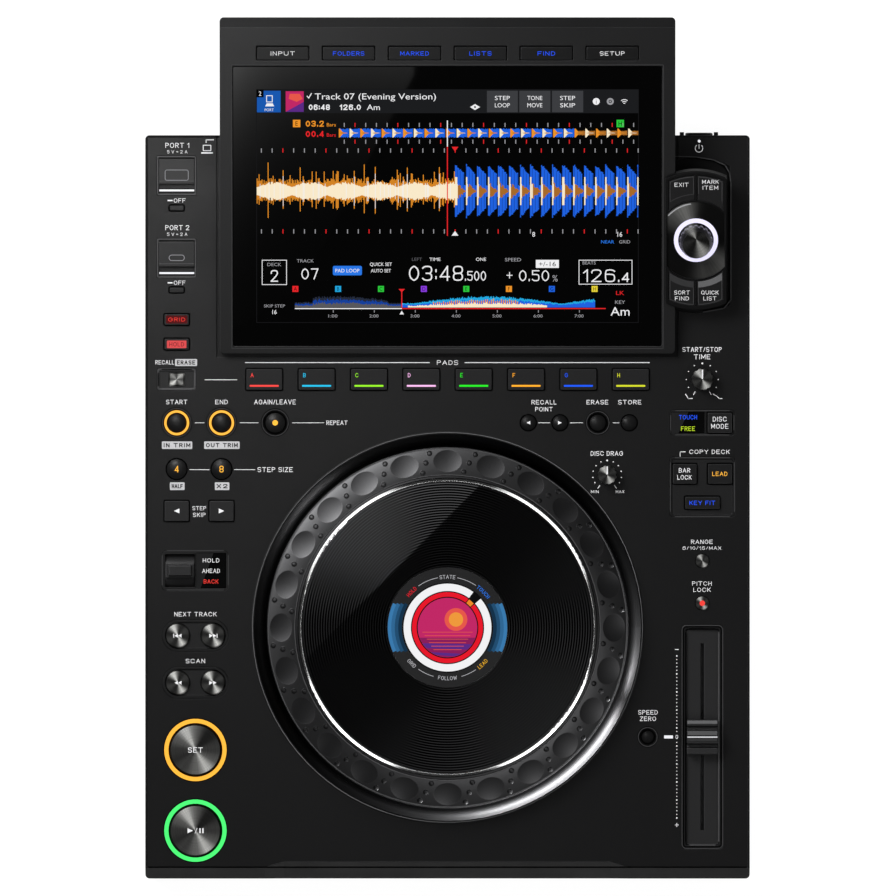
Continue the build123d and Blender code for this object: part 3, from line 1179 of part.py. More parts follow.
with BuildPart() as selector_pod:
    with BuildSketch(FACE.offset(POD_T)):
        with Locations((POD_X, POD_UP)):
            Circle(POD_R)
            Rectangle(POD_WIDTH, 3 * POD_R, mode=Mode.INTERSECT)
    extrude(amount=-POD_T)
    chamfer(selector_pod.faces().sort_by(Axis.Z)[-1].edges(), 0.5)
    with BuildSketch(FACE):
        with Locations((POD_X, POD_UP)):
            Circle(POD_R)
            Rectangle(POD_WIDTH, 3 * POD_R, mode=Mode.INTERSECT)
        with Locations((POD_FOOT_X + POD_R, POD_UP)):
            Rectangle(2 * POD_R, 3 * POD_R, mode=Mode.INTERSECT)
    extrude(amount=-POD_SKIRT)
    add(pod_pedestal.part)
    with BuildSketch(FACE.offset(-POD_SKIRT)):
        with Locations((POD_X, POD_UP)):
            Circle(SELECTOR_BOSS_R)
    extrude(amount=-SELECTOR_BOSS)
    with BuildSketch(FACE.offset(POD_T)):
        with Locations((POD_X, POD_UP)):
            Circle(DIAL_R)
            Rectangle(DIAL_WIDTH, 3 * DIAL_R, mode=Mode.INTERSECT)
    extrude(amount=-DIAL_DROP, mode=Mode.SUBTRACT)
    with BuildSketch(FACE.offset(POD_T - DIAL_DROP)):
        with Locations((POD_X, POD_UP)):
            Circle(SELECTOR_RING[1] + 0.05)
            Circle(SELECTOR_RING[0] - 0.05, mode=Mode.SUBTRACT)
    extrude(amount=-1.0, mode=Mode.SUBTRACT)
    extrude(pod_key_cells(FACE.offset(POD_T), 0.25), amount=POD_KEY_FLOOR - POD_T, mode=Mode.SUBTRACT)
    with BuildSketch(FACE.offset(POD_T)):
        with Locations(*STEM_PLACES):
            Circle(STEM_R)
    extrude(amount=-POD_T - POD_SKIRT + 1, mode=Mode.SUBTRACT)
    with BuildSketch(FACE.offset(POD_T)):
        with Locations((POD_X, POD_UP)):
            Circle(SELECTOR_SHAFT_R + SPIN_CLEARANCE)
    extrude(amount=-POD_T - POD_SKIRT - SELECTOR_BOSS - 1, mode=Mode.SUBTRACT)
save(selector_pod.part, "selector_pod")

with BuildPart() as selector_keys:
    key_top = POD_T + POD_KEY_RISE
    extrude(pod_key_cells(FACE.offset(key_top), 0), amount=-POD_KEY_T)
    chamfer(selector_keys.faces().filter_by(FACE).group_by(Axis((0, 0, 0), (0, -SIN, COS)))[-1].edges(), 0.3)
    with BuildSketch(FACE.offset(key_top - POD_KEY_T)):
        with Locations(*STEM_PLACES):
            Circle(STEM_R - 0.15)
    extrude(amount=-POD_SKIRT + 1)
save(selector_keys.part, "selector_keys")

SELECTOR_BASE = POD_T + PUSH + 0.2
SHAFT_TOP = SELECTOR_BASE + SELECTOR_HEIGHT - 3
with BuildPart() as selector_shaft:
    with BuildSketch(FACE.offset(SHAFT_TOP)):
        with Locations((POD_X, POD_UP)):
            Circle(SELECTOR_SHAFT_R)
    shaft_length = SHAFT_TOP + POD_SKIRT + SELECTOR_BOSS + 2
    extrude(amount=-shaft_length)
    with BuildSketch(FACE.offset(SHAFT_TOP - shaft_length)):
        with Locations((POD_X, POD_UP)):
            Circle(SELECTOR_SHAFT_R + 1.6)
    extrude(amount=1.5)
save(selector_shaft.part, "selector_shaft")

with BuildPart() as selector_knob:
    flute = 1.1
    body = fluted_knob(SELECTOR_R, SELECTOR_TIP_R, SELECTOR_HEIGHT, SELECTOR_FLUTES, flute, 0)
    with Locations(FACE.location * Location((POD_X, POD_UP, SELECTOR_BASE))):
        add(body)
    with BuildSketch(FACE.offset(SELECTOR_BASE)):
        with Locations((POD_X, POD_UP)):
            Circle(SELECTOR_SHAFT_R + SPIN_CLEARANCE)
    extrude(amount=SHAFT_TOP - SELECTOR_BASE + 0.3, mode=Mode.SUBTRACT)
save(selector_knob.part, "selector_knob")

# ------------------------------------------------------------------ main board and power supply
BOARD_MARGIN = 8.0
with BuildPart() as main_board:
    with BuildSketch(Plane.XY.offset(BOARD_TOP)):
        board_front = FRONT + SCOOP_WALL + BOARD_MARGIN
        board_rear = DISPLAY_FRONT + BOARD_OVERLAP
        with Locations((0, (board_front + board_rear) / 2)):
            Rectangle(WIDTH - 2 * (WALL + BOSS + 1), board_rear - board_front)
            Rectangle(WIDTH - 2 * (WALL + 1), board_rear - board_front - 2 * BOSS)
        wing_rear = DECK_REAR - WALL - REAR_PANEL_T - BOSS - 2
        with Locations((COLUMN_1, (board_rear + wing_rear) / 2 - 1)):
            Rectangle(2 * (LEFT_INSET - WALL - 1), wing_rear - board_rear + 2)
        with Locations(SLIDER):
            Rectangle(FADER_BODY[0] + 4, FADER_BODY[1] + 4, mode=Mode.SUBTRACT)
        with Locations(LEVER):
            Rectangle(LEVER_WELL[0] + 4 * LUG_T, 3 * DRUM_R, mode=Mode.SUBTRACT)
        with Locations(USB_WELLS[0]):
            Rectangle(*USB_SHELL, mode=Mode.SUBTRACT)
        with Locations(USB_WELLS[1]):
            Rectangle(*USB_C_SHELL, mode=Mode.SUBTRACT)
    extrude(amount=-BOARD_T)
    with BuildSketch(Plane.XY.offset(BOARD_TOP)):
        with Locations(*KEY_PLACES):
            Rectangle(SWITCH_SIZE / 2, SWITCH_SIZE / 2)
    extrude(amount=SWITCH_T)
    with BuildSketch(Plane.XY.offset(BOARD_TOP - BOARD_T)):
        with Locations((-40, JOG_Y + 40), (30, JOG_Y - 20), (60, JOG_Y + 60)):
            Rectangle(28, 28)
    extrude(amount=-3)
    # the posts that carry the board on the bottom plate
    with BuildSketch(Plane.XY.offset(FLOOR_TOP)):
        with Locations(*POST_PLACES):
            Circle(POST_STAND_R)
    extrude(amount=BOARD_TOP - BOARD_T - FLOOR_TOP)
save(main_board.part, "main_board")

with BuildPart() as power_supply:
    supply_rear = DECK_REAR - WALL - REAR_PANEL_T - SUPPLY_GAP
    supply_middle = (INLET_X + SUPPLY_REACH - SUPPLY[0] / 2, supply_rear - SUPPLY[1] / 2)
    with BuildSketch(Plane.XY.offset(FLOOR_TOP)):
        with Locations(supply_middle):
            Rectangle(*SUPPLY)
    extrude(amount=3)
    with BuildSketch(Plane.XY.offset(FLOOR_TOP + 3)):
        with Locations(supply_middle):
            with Locations((-30, 5)):
                Rectangle(34, 30)
            with Locations((20, -20), (38, -20), (20, 22)):
                Circle(8)
    extrude(amount=25)
    with BuildSketch(Plane.XY.offset(FLOOR_TOP + 3)):
        with Locations(supply_middle):
            with GridLocations(0, 7, 1, 5):
                with Locations((55, 0)):
                    Rectangle(14, 2)
            with Locations((61, 0)):
                Rectangle(3, 34)
    extrude(amount=30)
save(power_supply.part, "power_supply")

# ------------------------------------------------------------------ rear panel, sockets and power button
REAR_FACE = Plane(origin=(0, DECK_REAR - WALL, 0), x_dir=(-1, 0, 0), z_dir=(0, 1, 0))
INLET_BODY = (27.0, 19.6)
INLET_FLANGE = (31.0, 23.6)
INLET_MOUTH = (24.0, 16.4)
LAN_BODY = (16.0, 13.6)
LAN_MOUTH = (11.8, 8.4)
USB_B_BODY = (12.0, 11.0)
USB_B_MOUTH = (8.4, 7.6)
PHONO_R = 4.15
PHONO_NUT_R = 6.0
PHONO_REACH = 8.0
PHONO_BORE_R = 1.6
JACK_R = 4.0
JACK_BORE_R = 1.8
SOCKET_FIT = 0.2
PHONOS = [(-x, SOCKET_Z) for x in (DIGITAL_X, *PHONO_XS)]

with BuildPart() as rear_panel:
    with BuildSketch(REAR_FACE):
        with Locations((0, REAR_WINDOW_Z)):
            Rectangle(*grown(REAR_WINDOW, REAR_PANEL_LAP))
        for x, body in ((INLET_X, INLET_BODY), (LAN_X, LAN_BODY), (USB_B_X, USB_B_BODY)):
            with Locations((-x, SOCKET_Z)):
                Rectangle(*grown(body, SOCKET_FIT), mode=Mode.SUBTRACT)
        with Locations(*PHONOS, (-CONTROL_X, SOCKET_Z)):
            Circle(PHONO_R + SOCKET_FIT, mode=Mode.SUBTRACT)
        with Locations((-POWER_X, POWER_Z)):
            SlotOverall(*grown(POWER_BUTTON, 0.3), mode=Mode.SUBTRACT)
        for x, slots in VENTS:
            with Locations((-x, SOCKET_Z)):
                with GridLocations(VENT_PITCH, 0, slots, 1):
                    SlotOverall(*VENT_SLOT, rotation=90, mode=Mode.SUBTRACT)
    extrude(amount=-REAR_PANEL_T)
    with BuildSketch(REAR_FACE):
        with Locations((-POWER_X, POWER_Z)):
            with GridLocations(GUARD_SPAN, 0, 2, 1):
                Circle(GUARD_R)
    extrude(amount=WALL + POWER_PROUD + 0.3)
save(rear_panel.part, "rear_panel")

with BuildPart() as power_button:
    with BuildSketch(REAR_FACE.offset(WALL + POWER_PROUD)):
        with Locations((-POWER_X, POWER_Z)):
            SlotOverall(*POWER_BUTTON)
    extrude(amount=-WALL - POWER_PROUD - REAR_PANEL_T - 3.5)
    chamfer(power_button.faces().sort_by(Axis.Y)[-1].edges(), 0.5)
    with BuildSketch(REAR_FACE.offset(-REAR_PANEL_T - 0.3)):
        with Locations((-POWER_X, POWER_Z)):
            Rectangle(*grown(POWER_BUTTON, 1.2))
    extrude(amount=-1.5)
save(power_button.part, "power_button")

with BuildPart() as rear_sockets:
    # mains inlet
    with BuildSketch(REAR_FACE):
        with Locations((-INLET_X, SOCKET_Z)):
            RectangleRounded(*INLET_FLANGE, 1.5)
    extrude(amount=1.5)
    with BuildSketch(REAR_FACE):
        with Locations((-INLET_X, SOCKET_Z)):
            Rectangle(*INLET_BODY)
        with Locations((-LAN_X, SOCKET_Z)):
            Rectangle(*LAN_BODY)
        with Locations((-USB_B_X, SOCKET_Z)):
            Rectangle(*USB_B_BODY)
    extrude(amount=-16)
    with BuildSketch(REAR_FACE):
        with Locations((-LAN_X, SOCKET_Z)):
            Rectangle(*LAN_BODY)
        with Locations((-USB_B_X, SOCKET_Z)):
            Rectangle(*USB_B_BODY)
    extrude(amount=0.8)
    with BuildSketch(REAR_FACE.offset(1.5)):
        with Locations((-INLET_X, SOCKET_Z)):
            RectangleRounded(*INLET_MOUTH, 2.0)
    extrude(amount=-15.5, mode=Mode.SUBTRACT)
    with BuildSketch(REAR_FACE.offset(-14)):
        with Locations((-INLET_X, SOCKET_Z)):
            with Locations((-7, -1.5), (0, 2.5), (7, -1.5)):
                Rectangle(2, 4)
    extrude(amount=9.5)
    with BuildSketch(REAR_FACE.offset(0.8)):
        with Locations((-LAN_X, SOCKET_Z)):
            Rectangle(*LAN_MOUTH)
        with Locations((-USB_B_X, SOCKET_Z)):
            Rectangle(*USB_B_MOUTH)
            Rectangle(5.6, 3.0, mode=Mode.SUBTRACT)
    extrude(amount=-13, mode=Mode.SUBTRACT)
    # phono sockets and the control jack
    with BuildSketch(REAR_FACE):
        with Locations(*PHONOS):
            Circle(PHONO_NUT_R)
        with Locations((-CONTROL_X, SOCKET_Z)):
            Circle(PHONO_NUT_R)
    extrude(amount=1.2)
    with BuildSketch(REAR_FACE):
        with Locations(*PHONOS, (-CONTROL_X, SOCKET_Z)):
            Circle(PHONO_R)
    extrude(amount=-12)
    with BuildSketch(REAR_FACE):
        with Locations(*PHONOS):
            Circle(PHONO_R)
    extrude(amount=PHONO_REACH)
    with BuildSketch(REAR_FACE.offset(PHONO_REACH)):
        with Locations(*PHONOS):
            Circle(PHONO_BORE_R)
        with Locations((-CONTROL_X, SOCKET_Z)):
            Circle(JACK_BORE_R)
    extrude(amount=-PHONO_REACH - 9, mode=Mode.SUBTRACT)
save(rear_sockets.part, "rear_sockets")
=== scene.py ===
import bpy
import json
import math
import random
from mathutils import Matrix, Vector


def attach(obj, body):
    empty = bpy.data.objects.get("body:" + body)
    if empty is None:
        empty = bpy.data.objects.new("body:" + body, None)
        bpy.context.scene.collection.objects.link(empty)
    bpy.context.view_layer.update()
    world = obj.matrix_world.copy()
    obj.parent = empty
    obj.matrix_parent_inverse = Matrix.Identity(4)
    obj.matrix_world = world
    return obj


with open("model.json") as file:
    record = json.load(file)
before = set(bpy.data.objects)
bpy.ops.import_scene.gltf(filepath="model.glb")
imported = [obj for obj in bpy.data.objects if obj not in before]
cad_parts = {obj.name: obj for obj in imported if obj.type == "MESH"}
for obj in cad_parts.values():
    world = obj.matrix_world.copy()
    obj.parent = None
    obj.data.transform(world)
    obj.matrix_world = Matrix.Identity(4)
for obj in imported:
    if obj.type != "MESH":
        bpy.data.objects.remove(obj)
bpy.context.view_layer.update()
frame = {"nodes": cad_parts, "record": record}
nodes = frame["nodes"]

# Lengths are in millimetres where a comment doesn't say metres; the mesh helpers turn them into metres.
MM = 0.001
TILT = math.radians(12)                                 # of the display and of the selector pod
HINGE_Y, HINGE_Z = 51.7, 78.5                           # the low front edge of that slope
DECK_Z, WELL_Z = 72.0, 71.5
COLUMN_1, COLUMN_2, COLUMN_R = -147.4, -123.0, 138.7    # columns of small controls
TRANSPORT_X, CUE_Y, PLAY_Y = -137.2, -164.1, -208.0
PAD_Y, PAD_PITCH = 37.6, 28.5
LOOP_Y, BEAT_Y, JUMP_Y = 14.0, -11.2, -34.0             # rows of keys
SEARCH_SIDE = 9.55                                      # half the distance between two search keys
DIAL = (135.1, 113.7)                                   # selector, as seen from above
FEEL_KNOB, SPEED_KNOB = (86.9, -14.4), (COLUMN_R, PAD_Y)
FADER_Y = -157.0
JOG_Y = -97.4
RIM_Z, KNOB_Z, SLIDER_Z = 88.85, 81.1, 83.0             # heights of the jog wheel's rim, the knobs and the slider


def add_object(name, data):
    made = bpy.data.objects.new(name, data)
    bpy.context.scene.collection.objects.link(made)
    return made


# ------------------------------------------------------------------ shaders
def rgb(code, gain=1.0):
    """A colour from its usual hexadecimal form, as linear values."""
    parts = [int(code[i:i + 2], 16) / 255 for i in (0, 2, 4)]
    return [gain * (c / 12.92 if c <= 0.04045 else ((c + 0.055) / 1.055) ** 2.4) for c in parts] + [1.0]


def grey(value, blue=1.03):
    return [value, value, value * blue, 1.0]


class Shader:
    """A principled material built up from nodes; lengths are in millimetres."""

    def __init__(self, name, color=None, rough=0.5, metal=0.0, **sockets):
        self.material = bpy.data.materials.new(name)
        self.material.use_nodes = True
        self.tree = self.material.node_tree
        self.tree.nodes.clear()
        output = self.node("ShaderNodeOutputMaterial")
        self.bsdf = self.node("ShaderNodeBsdfPrincipled")
        self.tree.links.new(self.bsdf.outputs[0], output.inputs[0])
        self.set("Base Color", color or grey(0.02))
        self.set("Roughness", rough)
        self.set("Metallic", metal)
        for key, value in sockets.items():
            self.set(key.replace("_", " "), value)
        self.coords = None
        self.normal = None
        self.material.diffuse_color = color or grey(0.02)

    def node(self, kind, **inputs):
        made = self.tree.nodes.new(kind)
        for key, value in inputs.items():
            self.feed(made.inputs[key], value)
        return made

    def feed(self, socket, value):
        if isinstance(value, bpy.types.NodeSocket):
            self.tree.links.new(value, socket)
        elif value is not None:
            socket.default_value = value

    def set(self, key, value):
        self.feed(self.bsdf.inputs[key], value)

    def mm(self):
        """The place on the object, in millimetres."""
        if self.coords is None:
            place = self.node("ShaderNodeTexCoord")
            scale = self.vector("SCALE", place.outputs["Object"])
            scale.node.inputs["Scale"].default_value = 1000
            self.coords = scale
        return self.coords

    def vector(self, operation, a, b=None, output=0):
        made = self.node("ShaderNodeVectorMath")
        made.operation = operation
        self.feed(made.inputs[0], a)
        if b is not None:
            self.feed(made.inputs[1], b)
        return made.outputs[output]

    def math(self, operation, a, b=None, clamp=False):
        made = self.node("ShaderNodeMath")
        made.operation = operation
        made.use_clamp = clamp
        for socket, value in zip(made.inputs, (a, b)):
            self.feed(socket, value)
        return made.outputs[0]

    def times(self, a, b, clamp=False):
        return self.math("MULTIPLY", a, b, clamp=clamp)

    def plus(self, a, b, clamp=False):
        return self.math("ADD", a, b, clamp=clamp)

    def minus(self, a, b):
        return self.math("SUBTRACT", a, b)

    def split(self, place):
        made = self.node("ShaderNodeSeparateXYZ")
        self.feed(made.inputs[0], place)
        return made.outputs[:3]

    def noise(self, size, detail=2.0, rough=0.5, place=None, stretch=None):
        place = place or self.mm()
        if stretch:
            place = self.vector("MULTIPLY", place, stretch)
        made = self.node("ShaderNodeTexNoise", Vector=place, Scale=1.0 / size, Detail=detail, Roughness=rough)
        return made.outputs[0]

    def spread(self, value, low, high, to_low=0.0, to_high=1.0):
        made = self.node("ShaderNodeMapRange")
        for socket, item in zip(made.inputs, (value, low, high, to_low, to_high)):
            self.feed(socket, item)
        return made.outputs[0]

    def mix(self, factor, a, b):
        made = self.node("ShaderNodeMix")
        made.data_type = "RGBA"
        for place, value in ((0, factor), (6, a), (7, b)):      # the sockets for colours
            self.feed(made.inputs[place], value)
        return made.outputs[2]

    def bump(self, height, depth, strength=1.0):
        """Adds a relief `depth` millimetres deep to the normal."""
        made = self.node("ShaderNodeBump", Strength=strength, Distance=depth * MM, Height=height)
        if self.normal is not None:
            self.feed(made.inputs["Normal"], self.normal)
        self.normal = made.outputs[0]
        self.set("Normal", self.normal)

    def soften(self, radius):
        """Rounds the sharp edges in the shading; returns masks of edges turned to the upper left and away, for a
        painted highlight and painted shade on edges.
        """
        made = self.node("ShaderNodeBevel", Radius=radius * MM)
        made.samples = 6
        self.normal = made.outputs[0]
        self.set("Normal", self.normal)
        flat = self.node("ShaderNodeNewGeometry")
        turned = self.vector("SUBTRACT", made.outputs[0], flat.outputs["Normal"])
        facing = self.vector("DOT_PRODUCT", turned, (-0.55, 0.6, 0.58), output=1)
        return self.spread(facing, 0.03, 0.25), self.spread(facing, -0.1, -0.6)

    def polar(self, x, y, half=None):
        """Offset from an axis at (x, y), unit direction and radius; half folds a group of keys onto one."""
        place = self.vector("SUBTRACT", self.mm(), (x, y, 0))
        if half:
            sides = self.vector("SIGN", place)
            place = self.vector("SUBTRACT", place, self.vector("MULTIPLY", sides, (half[0], half[1], 0)))
        place = self.vector("MULTIPLY", place, (1, 1, 0))
        radius = self.vector("LENGTH", place, output=1)
        return place, self.vector("NORMALIZE", place), radius


def plastic(name, value, rough=0.4, grain=0.35, depth=0.006, edge=0.9, spec=0.35, bevel=0.45, blue=1.03):
    """Moulded plastic: fine spark-eroded grain, slow tone changes, a painted highlight on the edges turned to the upper
    left and painted shade on those turned away.
    """
    made = Shader(name, rough=rough, Specular_IOR_Level=spec)
    slow = made.noise(70, 3, 0.6)
    fine = made.noise(grain, 2, 0.6)
    caught, turned_off = made.soften(bevel)
    base = made.mix(slow, grey(value * 0.9, blue), grey(value * 1.1, blue))
    base = made.mix(made.spread(fine, 0.35, 0.75, 0.0, 0.6), base, grey(value * 1.9, blue))
    # painted highlight on the edges turned to the upper left, varied by a noise
    edge_highlight = made.times(caught, made.spread(made.noise(9, 3, 0.7), 0.35, 0.7, 0.7, 1.0))
    base = made.mix(made.times(edge_highlight, edge), base, grey(min(value * 6 + 0.04, 0.2), blue))
    # painted shade on the edges turned away from the upper left
    base = made.mix(made.times(turned_off, 0.7), base, grey(value * 0.2, blue))
    made.set("Base Color", base)
    smear = made.noise(28, 4, 0.65)
    made.set("Roughness", made.spread(smear, 0.3, 0.7, max(rough - 0.06, 0.05), min(rough + 0.06, 1.0)))
    made.bump(fine, depth)
    return made.material


def gloss(name, value, rough=0.12):
    """Polished moulding: a clear surface with faint swirls, dust-fine specks and soft edges."""
    made = Shader(name, rough=rough, Specular_IOR_Level=0.5)
    slow = made.noise(14, 3, 0.6)
    made.soften(0.2)
    made.set("Base Color", made.mix(slow, grey(value * 0.85), grey(value * 1.15)))
    swirl = made.noise(5, 5, 0.7, stretch=(1, 3, 1))
    made.set("Roughness", made.spread(swirl, 0.3, 0.75, rough * 0.7, rough * 1.5))
    made.bump(made.noise(1.6, 3, 0.5), 0.004)
    return made.material


def spun(name, axis, dark, bright, lobes, half=None, pitch=0.32, rough=0.3, power=7, metal=0.35, edge=None):
    """A turned metal face: concentric cutter marks, with painted highlights in fans round the axis, and painted shade,
    black, beyond the radius `edge` where one is given.
    """
    made = Shader(name, rough=rough, metal=metal)
    place, direction, radius = made.polar(*axis, half)
    total = None
    for angle, weight in lobes:
        a = math.radians(angle)
        along = made.vector("DOT_PRODUCT", direction, (math.cos(a), math.sin(a), 0), output=1)
        fan = made.times(made.math("POWER", made.math("MAXIMUM", along, 0.0), power), weight)
        total = fan if total is None else made.plus(total, fan)
    streak = made.node("ShaderNodeTexNoise", Scale=5.0, Detail=3.0)
    streak.noise_dimensions = "1D"
    made.feed(streak.inputs["W"], radius)
    marks = streak.outputs[0]
    hairs = made.noise(0.7, 3, 0.7, place=made.vector("MULTIPLY", direction, (9, 9, 0)))
    light = made.times(total, made.spread(hairs, 0.3, 0.7, 0.75, 1.15), clamp=True)
    light = made.times(light, made.spread(marks, 0.3, 0.7, 0.85, 1.1), clamp=True)
    made.soften(0.25)
    # painted highlights: the fans lighten the colour
    base = made.mix(light, grey(dark, 0.97), grey(bright, 0.96))
    # painted shade: black beyond the radius edge
    if edge:
        base = made.mix(made.spread(radius, edge, edge + 0.1), base, grey(0.0008))
    made.set("Base Color", base)
    made.set("Roughness", made.spread(marks, 0.3, 0.7, rough * 0.8, rough * 1.25))
    wave = made.math("SINE", made.times(radius, 2 * math.pi / pitch))
    made.bump(wave, 0.006)
    return made.material


def lamp(name, code, under=0.3):
    """Lit, slightly cloudy plastic: brighter in its middle, with a faint grain."""
    color = rgb(code)
    made = Shader(name, color=[c * under for c in color[:3]] + [1.0], rough=0.3)
    made.set("Emission Strength", 1.0)
    cloud = made.noise(2.5, 3, 0.6)
    dim = [c * 0.9 for c in color[:3]] + [1.0]
    lit = [min(c * 1.06, 1.2) for c in color[:3]] + [1.0]
    made.set("Emission Color", made.mix(cloud, dim, lit))
    made.bump(made.noise(0.4), 0.004)
    return made.material


def ink(name, color, rough):
    """Screen-printed ink: a thin film with tiny gaps in its cover."""
    made = Shader(name, color=color, rough=rough)
    wear_and_edge_highlight = made.noise(0.5, 3, 0.7)
    thin = [c * 0.82 for c in color[:3]] + [1.0]
    made.set("Base Color", made.mix(made.spread(wear_and_edge_highlight, 0.35, 0.6), thin, color))
    made.bump(wear_and_edge_highlight, 0.003)
    return made.material


def pixel(name, code, gain=1.0):
    """A lit part of a display, seen through its polished cover: fine lines between the dots."""
    made = Shader(name, color=grey(0.0006), rough=0.06, Specular_IOR_Level=0.08)
    y = made.split(made.mm())[1]
    line = made.math("SINE", made.times(y, 2 * math.pi / 0.18))
    dots = made.spread(line, -1.0, 1.0, 0.94, 1.03)
    lit = made.vector("SCALE", rgb(code, gain)[:3])
    made.feed(lit.node.inputs["Scale"], dots)
    made.set("Emission Color", lit)
    made.set("Emission Strength", 1.0)
    return made.material


# ------------------------------------------------------------------ flat pieces: prints, lamps and pictures
class Sheet:
    """A plane to draw on: x to the right, y up it, and an optional height over it at each place."""

    def __init__(self, origin, tilt=0.0, height=None):
        self.origin = Vector(origin)
        self.x = Vector((1, 0, 0))
        self.y = Vector((0, math.cos(tilt), math.sin(tilt)))
        self.n = Vector((0, -math.sin(tilt), math.cos(tilt)))
        self.height = height

    def at(self, x, y, lift):
        if self.height:
            lift = lift + self.height(x, y)
        return (self.origin + self.x * x + self.y * y + self.n * lift) * MM


def dome(x, y, radius, top, rise):
    """A sheet over a round key: `rise` from its edge to its middle, which is `top` over the deck."""
    sphere = (radius ** 2 + rise ** 2) / (2 * rise)

    def height(px, py):
        away = min((px - x) ** 2 + (py - y) ** 2, radius ** 2)
        return top - (sphere - math.sqrt(sphere ** 2 - away))

    return Sheet((0, 0, DECK_Z), height=height)


def level(z, y=0):
    return Sheet((0, y, z))


def slope(over=0.0):
    """A sheet that lies `over` the slope of the display."""
    return Sheet((0, HINGE_Y, HINGE_Z), TILT, height=lambda x, y: over)


DECK, WELL_FLOOR, WINDOW, KEY_TOP = (level(z) for z in (DECK_Z, WELL_Z, 71.7, 73.8))
FACE = slope()
JOG_FACE = level(87.3, JOG_Y)
GLYPHS = {}
# capitals and figures as strokes: the points of a line on a grid 8 high, two digits to a point
STROKES = {
    "A": "003860|1353", "B": "00083857553404|3453513000", "C": "6648280602204062", "D": "00083856523000",
    "E": "58080050|0444", "F": "580800|0444", "G": "6648280602204062" "6444", "H": "0008|5058|0454", "I": "0008",
    "J": "4842301002", "K": "0008|5803|2550", "L": "080040", "M": "0008326860", "N": "00085058",
    "O": "204062664828060220", "P": "00083857553404", "Q": "204062664828060220|4260",
    "R": "00083857553404|2450", "S": "574818070514445351401001", "T": "0868|3830", "U": "080220406268",
    "V": "083068", "W": "0820476088", "X": "0058|0850", "Y": "083468|3430", "Z": "08580050",
    "0": "203052563828060220", "1": "062820", "2": "0607184857550050", "3": "071848575544|24445351401001",
    "4": "40480252", "5": "580805455451401001", "6": "57481807011040515445" "05", "7": "085820",
    "8": "14050718485755441403011040515344", "9": "01104051574818070413" "53", "/": "0038", ":": "0102|0506",
    ".": "0001", "+": "0444|2226", "-": "0333", "=": "0343|0545", " ": "",
}


def glyphs(string):
    """A word in the built-in font as flat faces, with its left end at zero."""
    if string not in GLYPHS:
        curve = bpy.data.curves.new("word", "FONT")
        curve.body = string
        curve.size = 1.0
        curve.resolution_u = 3
        carrier = add_object("word", curve)
        bpy.context.view_layer.update()
        mesh = bpy.data.meshes.new_from_object(carrier.evaluated_get(bpy.context.evaluated_depsgraph_get()))
        points = [(v.co.x, v.co.y) for v in mesh.vertices]
        faces = [tuple(p.vertices) for p in mesh.polygons]
        bpy.data.objects.remove(carrier)
        bpy.data.curves.remove(curve)
        bpy.data.meshes.remove(mesh)
        left = min((p[0] for p in points), default=0)
        GLYPHS[string] = ([(x - left, y) for x, y in points], faces)
    return GLYPHS[string]


CAP = max(y for _, y in glyphs("H")[0])     # height of that font's capitals


def bend(before, here, after):
    """How far a line turns at a point, in degrees."""
    turn = math.atan2(after[1] - here[1], after[0] - here[0]) - math.atan2(here[1] - before[1], here[0] - before[0])
    return abs((math.degrees(turn) + 180) % 360 - 180)


def rounded(points):
    """Cuts the gentle corners of a line twice, and keeps its sharp ones."""
    for _ in range(2):
        closed = points[0] == points[-1]
        core = points[:-1] if closed else points
        cut = []
        for i, here in enumerate(core):
            if not closed and i in (0, len(core) - 1):
                cut.append(here)
                continue
            before, after = core[i - 1], core[(i + 1) % len(core)]
            if 5 < bend(before, here, after) < 70:
                cut += [tuple(0.72 * h + 0.28 * o for h, o in zip(here, other)) for other in (before, after)]
            else:
                cut.append(here)
        points = cut + cut[:1] if closed else cut
    return points


def pieces(points):
    """Parts a line at its sharp corners, so that each part is a strip of its full width."""
    closed = points[0] == points[-1]
    core = points[:-1] if closed else points
    n = len(core)
    inner = range(n) if closed else range(1, n - 1)
    cuts = [i for i in inner if bend(core[i - 1], core[i], core[(i + 1) % n]) > 65]
    if closed and cuts:
        core = core[cuts[0]:] + core[:cuts[0] + 1]
        cuts = [cut - cuts[0] for cut in cuts[1:]]
    elif not cuts:
        return [points]
    return [core[start:end + 1] for start, end in zip([0] + cuts, cuts + [len(core) - 1])]


def strip_faces(n, closed):
    """The quads between two rows of n points each."""
    return [(i, (i + 1) % n, n + (i + 1) % n, n + i) for i in range(n if closed else n - 1)]


def ribbon(points, width):
    """A line of a constant width as one strip: its points and its faces."""
    closed = points[0] == points[-1]
    core = points[:-1] if closed else points
    n = len(core)
    sides = []
    for i, (x, y) in enumerate(core):
        normals = []
        for a, b in ((i - 1, i), (i, i + 1)):
            if closed or (a >= 0 and b < n):
                ax, ay = core[a % n]
                bx, by = core[b % n]
                length = math.hypot(bx - ax, by - ay) or 1
                normals.append((-(by - ay) / length, (bx - ax) / length))
        nx, ny = (sum(v) / len(normals) for v in zip(*normals))
        scale = width / 2 / max(nx * nx + ny * ny, 0.3)
        ends = (0, 0)
        if not closed and i in (0, n - 1):
            sign = -1 if i == 0 else 1
            ends = (sign * normals[0][1] * width / 2, -sign * normals[0][0] * width / 2)
        sides.append(((x + ends[0] + nx * scale, y + ends[1] + ny * scale),
                      (x + ends[0] - nx * scale, y + ends[1] - ny * scale)))
    return [side[1] for side in sides] + [side[0] for side in sides], strip_faces(n, closed)


